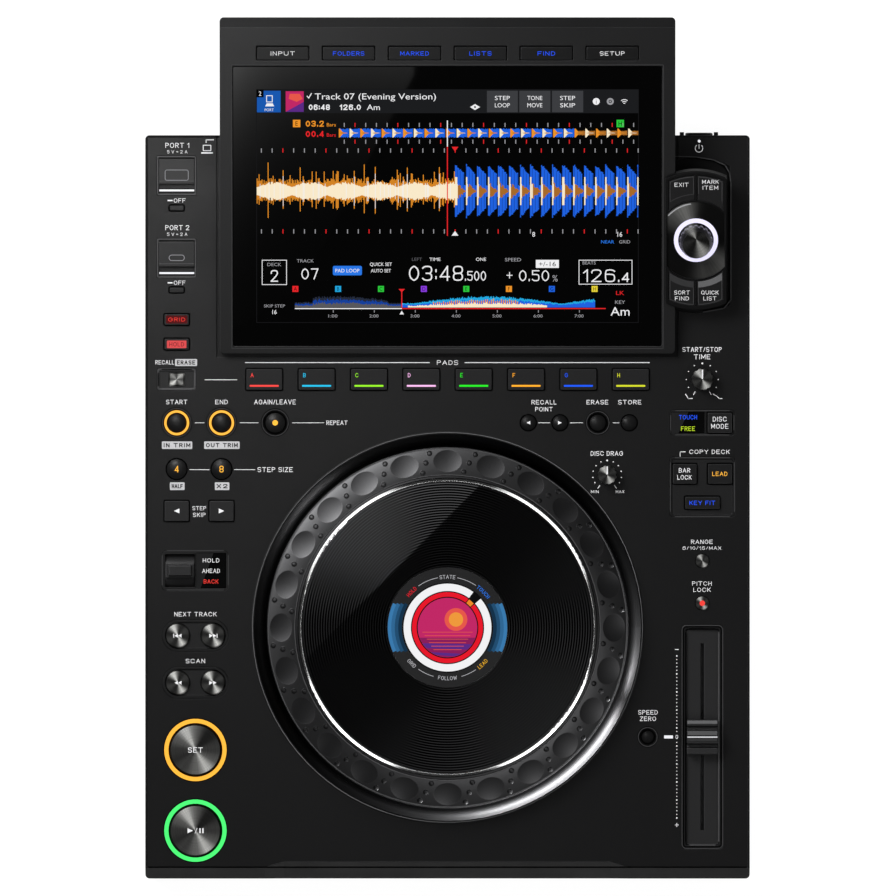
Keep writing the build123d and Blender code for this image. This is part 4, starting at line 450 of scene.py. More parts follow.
def lettering(string, cap, width, stroke):
    """A word in strokes, `cap` high from zero and `width` wide from zero."""
    inner = cap - stroke
    gap = 0.2 * cap + stroke
    spans = [1.0 if c == " " else int(max(STROKES[c].replace("|", "")[::2])) for c in string]
    natural = sum(spans) / 8 * inner
    gaps = gap * (len(string) - 1) + stroke
    total = width or 0.92 * (natural + gaps)
    share = (total - stroke) / max(natural + gaps - stroke, 0.001)
    points, faces, at = [], [], stroke / 2
    for char, span in zip(string, spans):
        strips = []
        for line in STROKES[char].split("|") if STROKES[char] else ():
            strips += pieces(rounded([(at + int(line[i]) / 8 * inner * share, stroke / 2 + int(line[i + 1]) / 8 * inner)
                                      for i in range(0, len(line), 2)]))
        for number, strip in enumerate(strips):
            flat, quads = ribbon(strip, stroke)
            faces += [tuple(len(points) + i for i in face) for face in quads]
            points += [(x, y, 0.004 * number) for x, y in flat]
        at += (span / 8 * inner + gap) * share
    return points, faces, total


class Prints:
    """Flat pieces that ride together on one body; every call takes the sheet that they lie on."""

    def __init__(self, name, body, slot, palette=None):
        self.name, self.body, self.slot, self.palette = name, body, slot, palette or INKS
        self.points, self.faces, self.inks, self.index = [], [], [], []

    def add(self, sheet, points, faces, ink, lift):
        start = len(self.points)
        self.points += [sheet.at(point[0], point[1], lift + sum(point[2:])) for point in points]
        self.faces += [tuple(start + i for i in face) for face in faces]
        if ink not in self.inks:
            self.inks.append(ink)
        self.index += [self.inks.index(ink)] * len(faces)

    def poly(self, sheet, points, ink, lift=0.05):
        area = sum(a[0] * b[1] - b[0] * a[1] for a, b in zip(points, points[1:] + points[:1]))
        if area < 0:
            points = points[::-1]
        self.add(sheet, points, [tuple(range(len(points)))], ink, lift)

    def rect(self, sheet, x, y, w, h, ink, radius=0.0, lift=0.05):
        self.poly(sheet, outline(x, y, w, h, radius), ink, lift)

    def frame(self, sheet, x, y, w, h, line, ink, radius=0.0, lift=0.05):
        outer = outline(x, y, w, h, radius or 0.01)
        inner = outline(x, y, w - 2 * line, h - 2 * line, max(radius - line, 0.01))
        self.loop(sheet, outer, inner, ink, lift)

    def loop(self, sheet, outer, inner, ink, lift=0.05, closed=True):
        self.add(sheet, outer + inner, strip_faces(len(outer), closed), ink, lift)

    def disc(self, sheet, x, y, radius, ink, lift=0.05, steps=32):
        self.poly(sheet, arc(x, y, radius, 0, 360, steps)[:-1], ink, lift)

    def ring(self, sheet, x, y, r0, r1, ink, start=0, end=360, lift=0.05):
        steps = max(6, int(abs(end - start) / 4))
        self.loop(sheet, arc(x, y, r1, start, end, steps), arc(x, y, r0, start, end, steps), ink, lift, False)

    def line(self, sheet, points, width, ink, lift=0.05):
        for (x0, y0), (x1, y1) in zip(points, points[1:]):
            length = math.hypot(x1 - x0, y1 - y0) or 1
            dx, dy = (x1 - x0) / length * width / 2, (y1 - y0) / length * width / 2
            x0, y0, x1, y1 = x0 - dx, y0 - dy, x1 + dx, y1 + dy
            self.poly(sheet, [(x0 + dy, y0 - dx), (x1 + dy, y1 - dx), (x1 - dy, y1 + dx), (x0 - dy, y0 + dx)],
                      ink, lift)

    def word(self, sheet, string, x, y, cap, ink, width=None, align=0.5, turn=0.0, lift=0.05, stroke=0.12):
        """A word whose capitals are `cap` high, centred on y, and fitted to a width where one is given."""
        if stroke and all(c in STROKES for c in string):
            points, faces, span = lettering(string, cap, width, stroke * cap)
        else:
            points, faces = glyphs(string)
            size = cap / CAP
            span = max(p[0] for p in points) * size
            squeeze = width / span if width else 0.88
            span *= squeeze
            points = [(px * size * squeeze, py * size, 0.0) for px, py in points]
        c, s = math.cos(math.radians(turn)), math.sin(math.radians(turn))
        placed = []
        for px, py, pz in points:
            qx, qy = px - span * align, py - cap / 2
            placed.append((x + qx * c - qy * s, y + qx * s + qy * c, pz))
        self.add(sheet, placed, faces, ink, lift)

    def arc_word(self, sheet, string, radius, middle, cap, ink, gap=0.35, lift=0.1):
        """A word bent round the middle of the sheet, with its letters upright as seen from the front."""
        widths = [lettering(c, cap, None, 0.13 * cap)[2] if c != " " else 0.5 * cap for c in string]
        total = sum(widths) + gap * (len(string) - 1)
        below = math.sin(math.radians(middle)) < -0.1
        at = -total / 2
        for letter, width in zip(string, widths):
            way = (at + width / 2) / radius
            angle = math.radians(middle) + (way if below else -way)
            turn = math.degrees(angle) + (90 if below else -90)
            if letter != " ":
                self.word(sheet, letter, radius * math.cos(angle), radius * math.sin(angle), cap, ink,
                          width, turn=turn, lift=lift)
            at += width + gap

    def done(self):
        mesh = bpy.data.meshes.new(self.name)
        mesh.from_pydata(self.points, [], self.faces)
        for ink in self.inks:
            mesh.materials.append(self.palette[ink])
        mesh.polygons.foreach_set("material_index", self.index)
        mesh.update()
        made = add_object(self.name, mesh)
        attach(made, self.body)


def arc(x, y, radius, start, end, steps):
    turns = [math.radians(start + (end - start) * i / steps) for i in range(steps + 1)]
    return [(x + radius * math.cos(t), y + radius * math.sin(t)) for t in turns]


def around(middle, radius, angle):
    """The point at an angle and a distance from a middle."""
    turn = math.radians(angle)
    return middle[0] + radius * math.cos(turn), middle[1] + radius * math.sin(turn)


def outline(x, y, w, h, radius):
    if not radius:
        return [(x - w / 2, y - h / 2), (x + w / 2, y - h / 2), (x + w / 2, y + h / 2), (x - w / 2, y + h / 2)]
    points = []
    for sx, sy, start in ((1, 1, 0), (-1, 1, 90), (-1, -1, 180), (1, -1, 270)):
        points += arc(x + sx * (w / 2 - radius), y + sy * (h / 2 - radius), radius, start, start + 90, 5)
    return points


# inks: gap is black for painted shade, and also the dark print on tags; pale is a painted reflection; the bands, the
# glints and rim_line are painted highlights
INKS = {name: ink("ink_" + name, color, rough) for name, color, rough in (
    ("white", rgb("F4F4F6"), 0.55), ("tag", rgb("CACACC"), 0.55), ("steel", rgb("8A8A8E"), 0.55),
    ("red_deep", rgb("5A0E10"), 0.55), ("gap", grey(0.0004), 0.9), ("pale", grey(0.012), 0.5),
    ("band", grey(0.03), 0.5), ("soft_band", grey(0.08), 0.5), ("bright_band", grey(0.12), 0.5),
    ("glint", grey(0.04), 0.4), ("bright_glint", grey(0.075), 0.4), ("ring_glint", grey(0.13), 0.4),
    ("edge_glint", grey(0.4), 0.4), ("rim_line", grey(0.07), 0.4))}
for name, code in (("amber_lit", "FBB53A"), ("red_lit", "C74446"), ("red_text", "E23A32"), ("red_dim", "4A1214"),
                   ("blue_lit", "1A50F0"), ("lime_lit", "B4D21E"), ("white_lit", "C8C8CC")):
    INKS[name] = lamp("lamp_" + name.removesuffix("_lit"), code)
for i, code in enumerate(("E8413C", "1DB3DC", "8CE01E", "ECB0E0", "1FE01F", "F0A01E", "0F50E6", "C3C81E")):
    INKS[f"pad_{i}"] = lamp(f"lamp_pad_{i + 1}", code)

# ------------------------------------------------------------------ materials of the CAD nodes
# painted highlights in fans on turned metal: the angle of each and its weight
SPIN = [(118, 1.0), (-62, 0.95), (30, 0.04), (205, 0.05)]
FANS = [(118, 1.0), (-58, 0.95), (88, 0.16), (-94, 0.2), (152, 0.14), (188, 0.04), (12, 0.05), (-24, 0.12),
        (228, 0.06)]
materials = {
    "lower_case": plastic("case_plastic", 0.006, 0.5, depth=0.014, spec=0.06),
    "top_panel": plastic("deck_plastic", 0.0055, 0.5, depth=0.014, bevel=0.2),
    "bottom_plate": plastic("base_paint", 0.012, 0.5, grain=0.8, depth=0.03),
    "rear_panel": plastic("rear_paint", 0.012, 0.42, grain=0.5, depth=0.02),
    "display_bezel": plastic("bezel_plastic", 0.0075, 0.48, depth=0.01, bevel=0.35, spec=0.42),
    "display_back_cover": plastic("cover_plastic", 0.012, 0.55, grain=0.6, depth=0.02),
    "selector_pod": plastic("pod_plastic", 0.0035, 0.45, depth=0.008, bevel=0.3, spec=0.2, edge=0.5),
    "selector_keys": plastic("pod_key_plastic", 0.0085, 0.42, bevel=0.25, spec=0.2),
    "jog_base": plastic("jog_seat_plastic", 0.01, 0.6, depth=0.012),
    "feet": plastic("foot_rubber", 0.02, 0.85, grain=0.7, depth=0.05),
    "tempo_slider": plastic("slider_plastic", 0.016, 0.34, bevel=0.3),
    "direction_lever": plastic("lever_plastic", 0.013, 0.38),
    "quantize_slip_keys": plastic("slim_key_plastic", 0.006),
    "stop_keys": plastic("stop_key_plastic", 0.005),
    "menu_keys": plastic("menu_key_plastic", 0.005, 0.42),
    "jog_mode_key": plastic("mode_key_plastic", 0.009),
    "sync_keys": plastic("sync_key_plastic", 0.008),
    "beat_jump_keys": plastic("jump_key_plastic", 0.011, 0.46, spec=0.26, depth=0.01),
    "main_board": plastic("board_lacquer", 0.03, 0.35, blue=0.4, depth=0.012),
    "power_supply": plastic("supply_parts", 0.05, 0.5, blue=0.6, depth=0.012),
    "rear_sockets": plastic("socket_plastic", 0.014, 0.45, grain=0.5, depth=0.012),
    "indicator_windows": gloss("smoked_window", 0.0015, 0.06),
    "jog_display": gloss("jog_display_cover", 0.008, 0.12),
    "lcd_module": gloss("lcd_cover", 0.01),
    "power_button": gloss("power_button_gloss", 0.02, 0.2),
    "call_key": spun("call_key_metal", (COLUMN_1, PAD_Y), 0.02, 0.7,
                     [(45, 0.6), (225, 1.0), (140, 0.3), (-40, 0.3)], power=9),
    "search_keys": spun("search_key_metal", (TRANSPORT_X, -114.7), 0.012, 0.75, SPIN,
                        half=(SEARCH_SIDE, 12.8), power=16),
    "tempo_keys": spun("tempo_key_metal", (COLUMN_R, -72.7), 0.015, 0.6, SPIN, half=(0, 11.5), power=12),
    "cue_key": spun("cue_key_metal", (TRANSPORT_X, CUE_Y), 0.01, 0.6, FANS, power=22, pitch=0.4, edge=13.3),
    "play_key": spun("play_key_metal", (TRANSPORT_X, PLAY_Y), 0.01, 0.6, FANS, power=22, pitch=0.4, edge=13.3),
    "jog_feel_knob": spun("feel_knob_metal", FEEL_KNOB, 0.01, 0.6, SPIN, power=12),
    "vinyl_speed_knob": spun("speed_knob_metal", SPEED_KNOB, 0.01, 0.6, SPIN, power=12),
    "selector_knob": spun("selector_knob_metal", DIAL, 0.006, 0.35, SPIN, power=14, pitch=0.5),
    "selector_shaft": spun("shaft_steel", DIAL, 0.3, 0.6, SPIN, metal=1.0),
    "case_screws": spun("screw_steel", (0, 0), 0.08, 0.25, SPIN, metal=1.0),
    "fader_body": gloss("fader_steel", 0.05, 0.4),
    "usb_sockets": gloss("socket_steel", 0.35, 0.3),
}
dome_gloss = gloss("dome_key_gloss", 0.006, 0.4)
for name in ("loop_in_key", "loop_out_key", "reloop_key", "cue_loop_call_keys", "delete_key", "memory_key",
             "beat_loop_keys", "tempo_reset_key"):
    materials[name] = dome_gloss
pad_plastic = plastic("pad_rubber", 0.0105, 0.48, spec=0.22, depth=0.01, bevel=0.3)
for letter in "abcdefgh":
    materials[f"hot_cue_key_{letter}"] = pad_plastic
materials["usb_flap_1"] = materials["usb_flap_2"] = plastic("flap_plastic", 0.008)

# polished black cover glass of the display
glass = Shader("display_cover_glass", rough=0.05, Specular_IOR_Level=0.5)
smear = glass.noise(35, 4, 0.7)
glass.set("Base Color", glass.mix(smear, grey(0.0002), grey(0.0005)))
glass.set("Roughness", glass.spread(smear, 0.3, 0.75, 0.02, 0.045))
materials["display_glass"] = glass.material

# jog wheel rim: satin moulding with polished hollows, a painted highlight on its edges turned to the upper left, and
# painted shade on the flanks of the small bumps and on the skirt, darker towards the rim
rim = Shader("jog_rim_metal", rough=0.36, metal=1.0, Specular_Tint=grey(0.4))
radius = rim.polar(0, JOG_Y)[2]
z = rim.split(rim.mm())[2]
off = rim.minus(radius, 90.6)
crown = rim.minus(89.35, rim.times(rim.times(off, off), 0.012))
hollow = rim.times(rim.spread(rim.minus(crown, z), 0.03, 0.2), rim.spread(radius, 98.0, 97.6))
# the edges turned to the upper left, for a painted highlight
wear_and_edge_highlight = rim.soften(0.35)[0]
base = rim.mix(rim.noise(40, 3), grey(0.038), grey(0.042))
base = rim.mix(rim.times(wear_and_edge_highlight, 0.3), base, grey(0.08))
base = rim.mix(hollow, base, grey(0.037))
proud = rim.minus(z, crown)
# painted shade: the flanks of the small bumps darker
flank = rim.times(rim.spread(proud, 0.02, 0.1), rim.spread(proud, 0.3, 0.46, 1.0, 0.35))
base = rim.mix(flank, base, grey(0.018))
# painted shade: the skirt darker towards the rim
low = rim.spread(radius, 98.0, 98.3)
skirt = rim.mix(rim.spread(radius, 98.8, 102.5), grey(0.002), grey(0.024))
rim.set("Base Color", rim.mix(low, base, skirt))
verge = rim.times(rim.spread(radius, 97.4, 97.8), rim.spread(radius, 99.2, 98.8))
satin = rim.mix(low, rim.spread(hollow, 0.0, 1.0, 0.34, 0.2), grey(0.4))
rim.set("Roughness", rim.mix(rim.math("MAXIMUM", flank, verge), satin, grey(0.7)))
rim.bump(rim.noise(0.4, 2, 0.6), 0.01, 0.8)
materials["jog_rim"] = rim.material

# jog wheel plate: black anodised disc with fine turned grooves
plate = Shader("jog_plate_metal", rough=0.2, metal=1.0)
radius = plate.polar(0, JOG_Y)[2]
cycle = plate.math("FRACT", plate.math("DIVIDE", radius, 1.4))
ridge = plate.math("ABSOLUTE", plate.minus(cycle, 0.5))
flank = plate.spread(ridge, 0.32, 0.48)
plate.set("Base Color", plate.mix(flank, grey(0.002), grey(0.15)))
plate.set("Roughness", plate.spread(flank, 0.0, 1.0, 0.05, 0.08))
plate.bump(plate.noise(0.9, 3, 0.7), 0.0015)
materials["jog_plate"] = plate.material

# bright trim ring
chrome = Shader("trim_chrome", color=grey(0.75, 1.0), rough=0.08, metal=1.0)
chrome.set("Roughness", chrome.spread(chrome.noise(8, 4), 0.3, 0.7, 0.1, 0.16))
materials["jog_trim"] = chrome.material

for name, material in materials.items():
    mesh = nodes[name].data
    mesh.materials.clear()
    mesh.materials.append(material)

# lit rings and bars: one colour for each, by where the piece lies, and a darker one for the lips of the rings
guides = nodes["light_guides"].data
guides.materials.clear()
for name, code in (("ring_amber", "FBB53A"), ("ring_green", "48EF72"), ("lip_amber", "C8641A"), ("lip_green", "1E8A3C"),
                   ("ring_pale", "E8E4FF"), ("bar_white", "E3E3E8")):
    guides.materials.append(lamp(name, code, under=0.2))
AMBER, GREEN, AMBER_LIP, GREEN_LIP, PALE, WHITE = range(6)
for face in guides.polygons:
    x, y = face.center.x / MM, face.center.y / MM
    if x > 100:
        face.material_index = PALE if 60 < y < 140 else WHITE
    elif y > 60:
        face.material_index = WHITE
    elif face.normal.z > 0.9:
        face.material_index = GREEN if y < (CUE_Y + PLAY_Y) / 2 else AMBER
    else:
        face.material_index = GREEN_LIP if y < (CUE_Y + PLAY_Y) / 2 else AMBER_LIP

# turned dial in the selector pod
pod_mesh = nodes["selector_pod"].data
pod_mesh.materials.append(spun("dial_metal", DIAL, 0.0015, 0.15,
                               [(112, 1.0), (140, 0.3), (-42, 0.6), (-75, 0.25)], power=22, pitch=0.6, rough=0.5))
DIAL_RISE = 2.2    # of the dial over the slope
for face in pod_mesh.polygons:
    rise = (face.center / MM - FACE.origin).dot(FACE.n)
    if face.normal.dot(FACE.n) > 0.9 and abs(rise - DIAL_RISE) < 0.1:
        face.material_index = 1

# floors of the wells, some darker as painted shade, the seams black as painted shade and the raised frames lighter as a
# painted highlight, told apart by their height and place
deck_mesh = nodes["top_panel"].data
for name, value, rough in (("well_plastic", 0.009, 0.42), ("well_dark_plastic", 0.0035, 0.5),
                           ("frame_plastic", 0.03, 0.4), ("seam_black", 0.0006, 0.7),
                           ("fader_well_plastic", 0.0135, 0.42)):
    deck_mesh.materials.append(plastic(name, value, rough, depth=0.01, edge=0.6))
WELL, SHADED_WELL, FRAME_HIGHLIGHT, SEAM_SHADE, FADER_WELL = range(1, 6)
# raised frames round the flaps and the call key: from x to x, from y to y
FRAMES = ((-158.2, -136.6, 137.7, 159.3), (-158.2, -136.6, 92.7, 114.3), (-157.9, -136.8, 31.6, 43.6))
for face in deck_mesh.polygons:
    cx, cy, cz = (v / MM for v in face.center)
    # walls and floors of the seams: black, as painted shade
    if face.normal.z < 0.7:
        if 71.6 < cz < DECK_Z and face.area < 4e-5 and math.hypot(cx, cy - JOG_Y) > 108:
            face.material_index = SEAM_SHADE
    elif abs(cz - 71.7) < 0.03:
        face.material_index = SEAM_SHADE
    # faces at these heights and the lever's well: darker, as painted shade
    elif min(abs(cz - z) for z in (72.5, 70.5)) < 0.05:
        face.material_index = SHADED_WELL
    elif min(abs(cz - z) for z in (71.2, WELL_Z, 70.7)) < 0.05:
        face.material_index = WELL
    elif abs(cz - 70.0) < 0.05:
        face.material_index = FADER_WELL if cy < -90 else SHADED_WELL
    # raised frames: lighter, as a painted highlight
    elif abs(cz - DECK_Z) < 0.02 and any(x0 < cx < x1 and y0 < cy < y1 for x0, x1, y0, y1 in FRAMES):
        face.material_index = FRAME_HIGHLIGHT

# metal nuts on the phono sockets and the jack
sockets = nodes["rear_sockets"].data
sockets.materials.append(spun("socket_nut_metal", (0, 0), 0.25, 0.55, SPIN, metal=1.0))
for face in sockets.polygons:
    cx, cy, cz = (v / MM for v in face.center)
    if cx < -8 and cy > 167.6 and math.hypot(face.normal.x, face.normal.z) < 1.1:
        face.material_index = 1

# ------------------------------------------------------------------ legends on the deck
deck = Prints("deck_legends", "case", "deck")


def tag(string, x, y, w, h):
    deck.rect(DECK, x, y, w, h, "tag", 0.5)
    deck.word(DECK, string, x, y, 2.3, "gap", w - 2.0, lift=0.1, stroke=0.2)


# words: the word, its middle, the height of its capitals and its width
for string, x, y, cap, width in (
        ("PORT 1", -147.1, 165.0, 2.7, 13.0), ("5 V = 2 A", -147.1, 161.5, 1.7, 11.0),
        ("PORT 2", -147.1, 120.2, 2.7, 13.0), ("5 V = 2 A", -147.1, 116.6, 1.7, 11.0),
        ("OFF", -145.8, 135.0, 2.3, 6.4), ("OFF", -145.8, 90.2, 2.3, 6.4),
        ("RECALL", -153.9, 46.9, 2.3, 10.2), ("PADS", 0, 46.75, 2.5, 11.5), ("START", COLUMN_1, 25.3, 2.4, 11.5),
        ("END", COLUMN_2, 25.3, 2.4, 6.8), ("AGAIN/LEAVE", -93.9, 25.3, 2.6, 22.6),
        ("REPEAT", -60.2, LOOP_Y, 2.4, 11.5), ("STEP SIZE", -93.8, -11.5, 2.6, 19.1), ("STEP", -135.1, -32.5, 2.2, 7.4),
        ("SKIP", -135.1, -36.1, 2.2, 6.8),
        ("NEXT TRACK", TRANSPORT_X, -90.2, 2.4, 23.0), ("SCAN", TRANSPORT_X, -115.7, 2.4, 10.5),
        ("RECALL", 52.5, 25.2, 2.4, 13.5), ("POINT", 52.5, 21.4, 2.4, 9.5), ("ERASE", 81.6, 25.2, 2.4, 11.8),
        ("STORE", 99.2, 25.2, 2.4, 12.6), ("DISC DRAG", 86.7, -2.7, 2.5, 17.5), ("MIN", 80.2, -23.5, 1.6, 4.2),
        ("MAX", 93.9, -23.5, 1.6, 4.6), ("START/STOP", 138.6, 53.9, 2.6, 21.4), ("TIME", 138.6, 49.9, 2.6, 9.0),
        ("COPY DECK", 142.6, -1.8, 2.3, 22.0), ("RANGE", 138.5, -50.8, 2.3, 11.8),
        ("6/10/16/MAX", 138.5, -54.2, 1.8, 21.0), ("PITCH", 138.5, -73.5, 2.3, 10.6), ("LOCK", 138.5, -76.9, 2.3, 9.4),
        ("SPEED", 109.1, -143.6, 2.4, 10.6), ("ZERO", 109.1, -147.1, 2.4, 8.8), ("0", 124.8, FADER_Y, 2.3, None)):
    deck.word(DECK, string, x, y, cap, "white", width)
for string, x, y, cap, width, color in (
        ("HOLD", -128.7, -60.9, 2.3, 9.0, "white"), ("AHEAD", -128.7, -66.6, 2.3, 9.6, "white"),
        ("BACK", -128.7, -72.4, 2.3, 8.0, "red_text"), ("TOUCH", 130.9, 17.0, 2.4, 9.8, "blue_lit"),
        ("FREE", 130.9, 10.8, 2.4, 7.6, "lime_lit")):
    deck.word(WINDOW, string, x, y, cap, color, width)
for row in (("ERASE", -142.3, 46.8, 12, 3.8), ("IN TRIM", -147.2, 1.8, 16.5, 4.1), ("OUT TRIM", -122.8, 1.8, 19.3, 4.1),
            ("HALF", -147.1, -20.5, 8.0, 4.2), ("X2", -122.7, -20.5, 7.9, 4.2)):
    tag(*row)
# lines: the width and the points
for row in (
        (0.7, (-152.0, 135.0), (-150.0, 135.0)), (0.7, (-152.0, 90.2), (-150.0, 90.2)),
        (0.5, (-131.4, 166.6), (-131.4, 168.0), (-127.4, 168.0)), (0.35, (-132, 37.4), (-114.6, 37.4)),
        (0.4, (-110, 46.75), (-9.9, 46.75)), (0.4, (9.6, 46.75), (109.8, 46.75)),
        (0.3, (-140.3, -11.5), (-129.7, -11.5)), (0.3, (-116.0, -11.5), (-104.8, -11.5)),
        (0.4, (129.6, 29.6), (131.0, 27.2), (133.2, 27.2)),
        (0.4, (144.6, 29.6), (146.4, 28.6), (147.9, 27.2), (149.4, 27.2)),
        (0.35, (126.6, -4.2), (126.6, -1.8), (129.4, -1.8)), (0.4, (124.0, -109.4), (125.6, -109.4)),
        (0.4, (124.0, -204.9), (125.6, -204.9)), (0.4, (124.8, -205.7), (124.8, -204.1)),
        (0.4, (136.9, 163.4), (136.9, 165.4))):
    deck.line(DECK, list(row[1:]), row[0], "white")
for x0, x1 in ((-137.4, -132.5), (-112.9, -103.1), (-84.4, -67.2), (49.6, 55.6), (66.8, 73.6), (90.1, 93.3)):
    deck.line(DECK, [(x0, LOOP_Y), (x1, LOOP_Y)], 0.3, "white")
deck.frame(DECK, -130.9, 163.6, 4.6, 3.4, 0.45, "white", 0.4)
deck.rect(DECK, -130.9, 160.9, 6.4, 0.8, "white", 0.3)
deck.ring(DECK, 136.9, 163.4, 1.85, 2.25, "white", 125, 415)
for knob, radius, marks, ends in ((FEEL_KNOB, 7.9, (25, 50, 75, 100, 122), 145),
                                  (SPEED_KNOB, 8.7, (30, 60, 90, 120), 150)):
    deck.disc(DECK, knob[0], knob[1] + radius, 0.5, "white", steps=12)
    for side in (-1, 1):
        for mark in marks:
            deck.disc(DECK, *around(knob, radius, 90 + side * mark), 0.33, "white", steps=12)
        deck.line(DECK, [around(knob, radius + step, 90 + side * ends) for step in (-0.9, 0.9)], 0.35, "white")
for i in range(46):
    y = -112.9 - 1.96 * i
    if abs(y - FADER_Y) > 2.2:
        deck.disc(DECK, 124.8, y, 0.3 if i % 5 else 0.42, "white", steps=12)

# painted shade of the gaps round the keys, black frames on the deck: the middle and the size of each key
KEYS = [((i - 3.5) * PAD_PITCH, PAD_Y, 19.0, 10.8, DECK) for i in range(8)]
KEYS += [(COLUMN_1, JUMP_Y, 12.6, 10.4, DECK), (COLUMN_2, JUMP_Y, 12.6, 10.4, DECK),
         (148.2, LOOP_Y, 12.6, 10.4, DECK), (COLUMN_1, 70.2, 12.8, 5.4, DECK), (COLUMN_1, 56.8, 12.8, 5.4, DECK),
         (COLUMN_1, 130.9, 7.3, 2.3, DECK), (COLUMN_1, 86.3, 7.3, 2.3, DECK),
         (129.1, -13.8, 12.4, 10.2, WELL_FLOOR), (148.3, -13.8, 12.4, 10.2, WELL_FLOOR),
         (COLUMN_R, -29.6, 18.2, 6.2, WELL_FLOOR)]
for x, y, w, h, sheet in KEYS:
    deck.frame(sheet, x, y, w + 1.9, h + 1.9, 0.6, "gap", 1.3, lift=0.02)
# and round the round ones, painted shade in gap ink and painted highlights in glint ink, from the inside out: the width
# of each ring and its ink
ROUND_KEYS = [(81.8, LOOP_Y, 4.4), (98.9, LOOP_Y, 4.2), (44.0, LOOP_Y, 4.2), (61.2, LOOP_Y, 4.2),
              (COLUMN_1, BEAT_Y, 5.5), (COLUMN_2, BEAT_Y, 5.5), (-93.8, LOOP_Y, 5.4), (109.0, FADER_Y, 3.4),
              (COLUMN_R, -61.2, 3.4), (COLUMN_R, -84.2, 3.4)]
RING_SETS = [(key, ((0.6, "gap"),)) for key in ROUND_KEYS]
RING_SETS += [(key, ((0.45, "glint"), (0.45, "gap")))
              for key in ((81.8, LOOP_Y, 5.9), (-93.8, LOOP_Y, 6.9), (109.0, FADER_Y, 4.9))]
RING_SETS += [((x, LOOP_Y, 7.0), ((0.5, "gap"), (0.5, "glint"), (0.5, "gap"))) for x in (COLUMN_1, COLUMN_2)]
for (x, y, radius), rings in RING_SETS:
    for width, color in rings:
        deck.ring(DECK, x, y, radius, radius + width, color, lift=0.02)
        radius += width


# a painted line along an edge: a painted highlight in glint ink, painted shade in gap ink
def painted_edge_line(x0, y0, x1, y1, width=0.5, color="glint", sheet=DECK):
    deck.rect(sheet, (x0 + x1) / 2, (y0 + y1) / 2, max(abs(x1 - x0), width), max(abs(y1 - y0), width), color, lift=0.03)


# painted shade and a painted highlight along the step in the deck behind the selector pod
for offset, color in ((0.0, "gap"), (0.7, "glint")):
    edge = [(123.5, 158.3 + offset), (135.6, 158.0 + offset), (144.9, 156.4 + offset), (150.5 + offset, 153.5 + offset),
            (152.8 + offset, 150.0), (153.6 + offset, 145.0), (153.6 + offset, 81.0), (149.9 + offset, 77.0 - offset),
            (139.3, 74.9 - offset)]
    deck.line(DECK, edge, 0.55, color, lift=0.03)

# painted highlights caught by the lips of the wells, and painted shade beside them
deck.frame(DECK, COLUMN_R, FADER_Y, 22.6, 121.8, 0.5, "glint", 2.6, lift=0.02)
deck.frame(DECK, COLUMN_R, FADER_Y, 21.4, 120.6, 0.7, "gap", 2.1, lift=0.02)
for x, y, w, h in ((COLUMN_R, FADER_Y, 17.4, 117.0), (COLUMN_1, PAD_Y, 19.4, 10.2)):
    for side, out, width, color in ((1, 0.3, 0.5, "bright_glint"), (-1, 0.35, 0.6, "gap")):
        edge_x, edge_y = x + side * (w / 2 + out), y - side * (h / 2 + out)
        painted_edge_line(edge_x, y - h / 2 + 1.5, edge_x, y + h / 2 - 1.5, width, color)
        painted_edge_line(x - w / 2 + 1.5, edge_y, x + w / 2 - 1.5, edge_y, width, color)
for x, y, w, h in ((-137.3, -66.3, 36.0, 21.4), (COLUMN_R, LOOP_Y, 34.4, 13.2), (COLUMN_R, -21.0, 34.9, 32.0)):
    for side in (-1, 1):
        painted_edge_line(x + side * w / 2, y - h / 2 + 2.5, x + side * w / 2, y + h / 2 - 2.5)
        painted_edge_line(x - w / 2 + 2.5, y + side * h / 2, x + w / 2 - 2.5, y + side * h / 2)

# ------------------------------------------------------------------ round display in the jog wheel
INKS["disc_grey"] = gloss("disc_grey", 0.0165, 0.2)
INKS["disc_black"] = gloss("disc_black", 0.003, 0.15)
for name, code in (("white", "F4F4F6"), ("soft", "B8B8BC"), ("red", "E8182A"), ("orange", "F08A28"),
                   ("blue", "2C7CF0"), ("amber", "F0B428")):
    INKS["jog_" + name] = pixel("jog_" + name, code)
for i, code in enumerate(("8A1E5C", "C22866", "E8584A", "F09A3C", "5C2A86")):
    INKS[f"art_{i}"] = pixel(f"art_{i}", code)
for i, gain in enumerate((0.16, 0.38, 0.7, 1.0)):
    INKS[f"side_{i}"] = pixel(f"side_{i}", "3A7AAE", gain)
AXIS = (0, 0)
jog = Prints("jog_display_picture", "case", "jog_screen")
jog.disc(JOG_FACE, *AXIS, 32.6, "disc_grey", 0.04, 96)
for side in (0, 180):
    for i in range(4):
        r0 = 24.9 + i * 1.9
        half = math.degrees(math.asin(13.0 / (r0 + 1)))
        jog.ring(JOG_FACE, *AXIS, r0, r0 + 1.9, f"side_{i}", side - half, side + half, lift=0.07)
jog.ring(JOG_FACE, *AXIS, 16.3, 24.6, "disc_black", lift=0.08)
jog.ring(JOG_FACE, *AXIS, 19.9, 23.9, "jog_white", 54, 401, lift=0.12)
jog.ring(JOG_FACE, *AXIS, 16.8, 19.3, "jog_red", 54, 401, lift=0.12)
jog.ring(JOG_FACE, *AXIS, 16.8, 19.3, "jog_orange", 42.5, 52.5, lift=0.12)
jog.disc(JOG_FACE, *AXIS, 16.2, "art_1", 0.1, 72)
random.seed(7)
for i in range(5):
    jog.poly(JOG_FACE, arc(0, 0, 16.1, 200 + 12 * i, 340 - 14 * i, 24), f"art_{i % 2 * 4}", 0.115 + 0.012 * i)
jog.disc(JOG_FACE, 4.6, 4.4, 6.2, "art_2", 0.19, 40)
jog.disc(JOG_FACE, 4.6, 4.4, 3.9, "art_3", 0.2, 40)
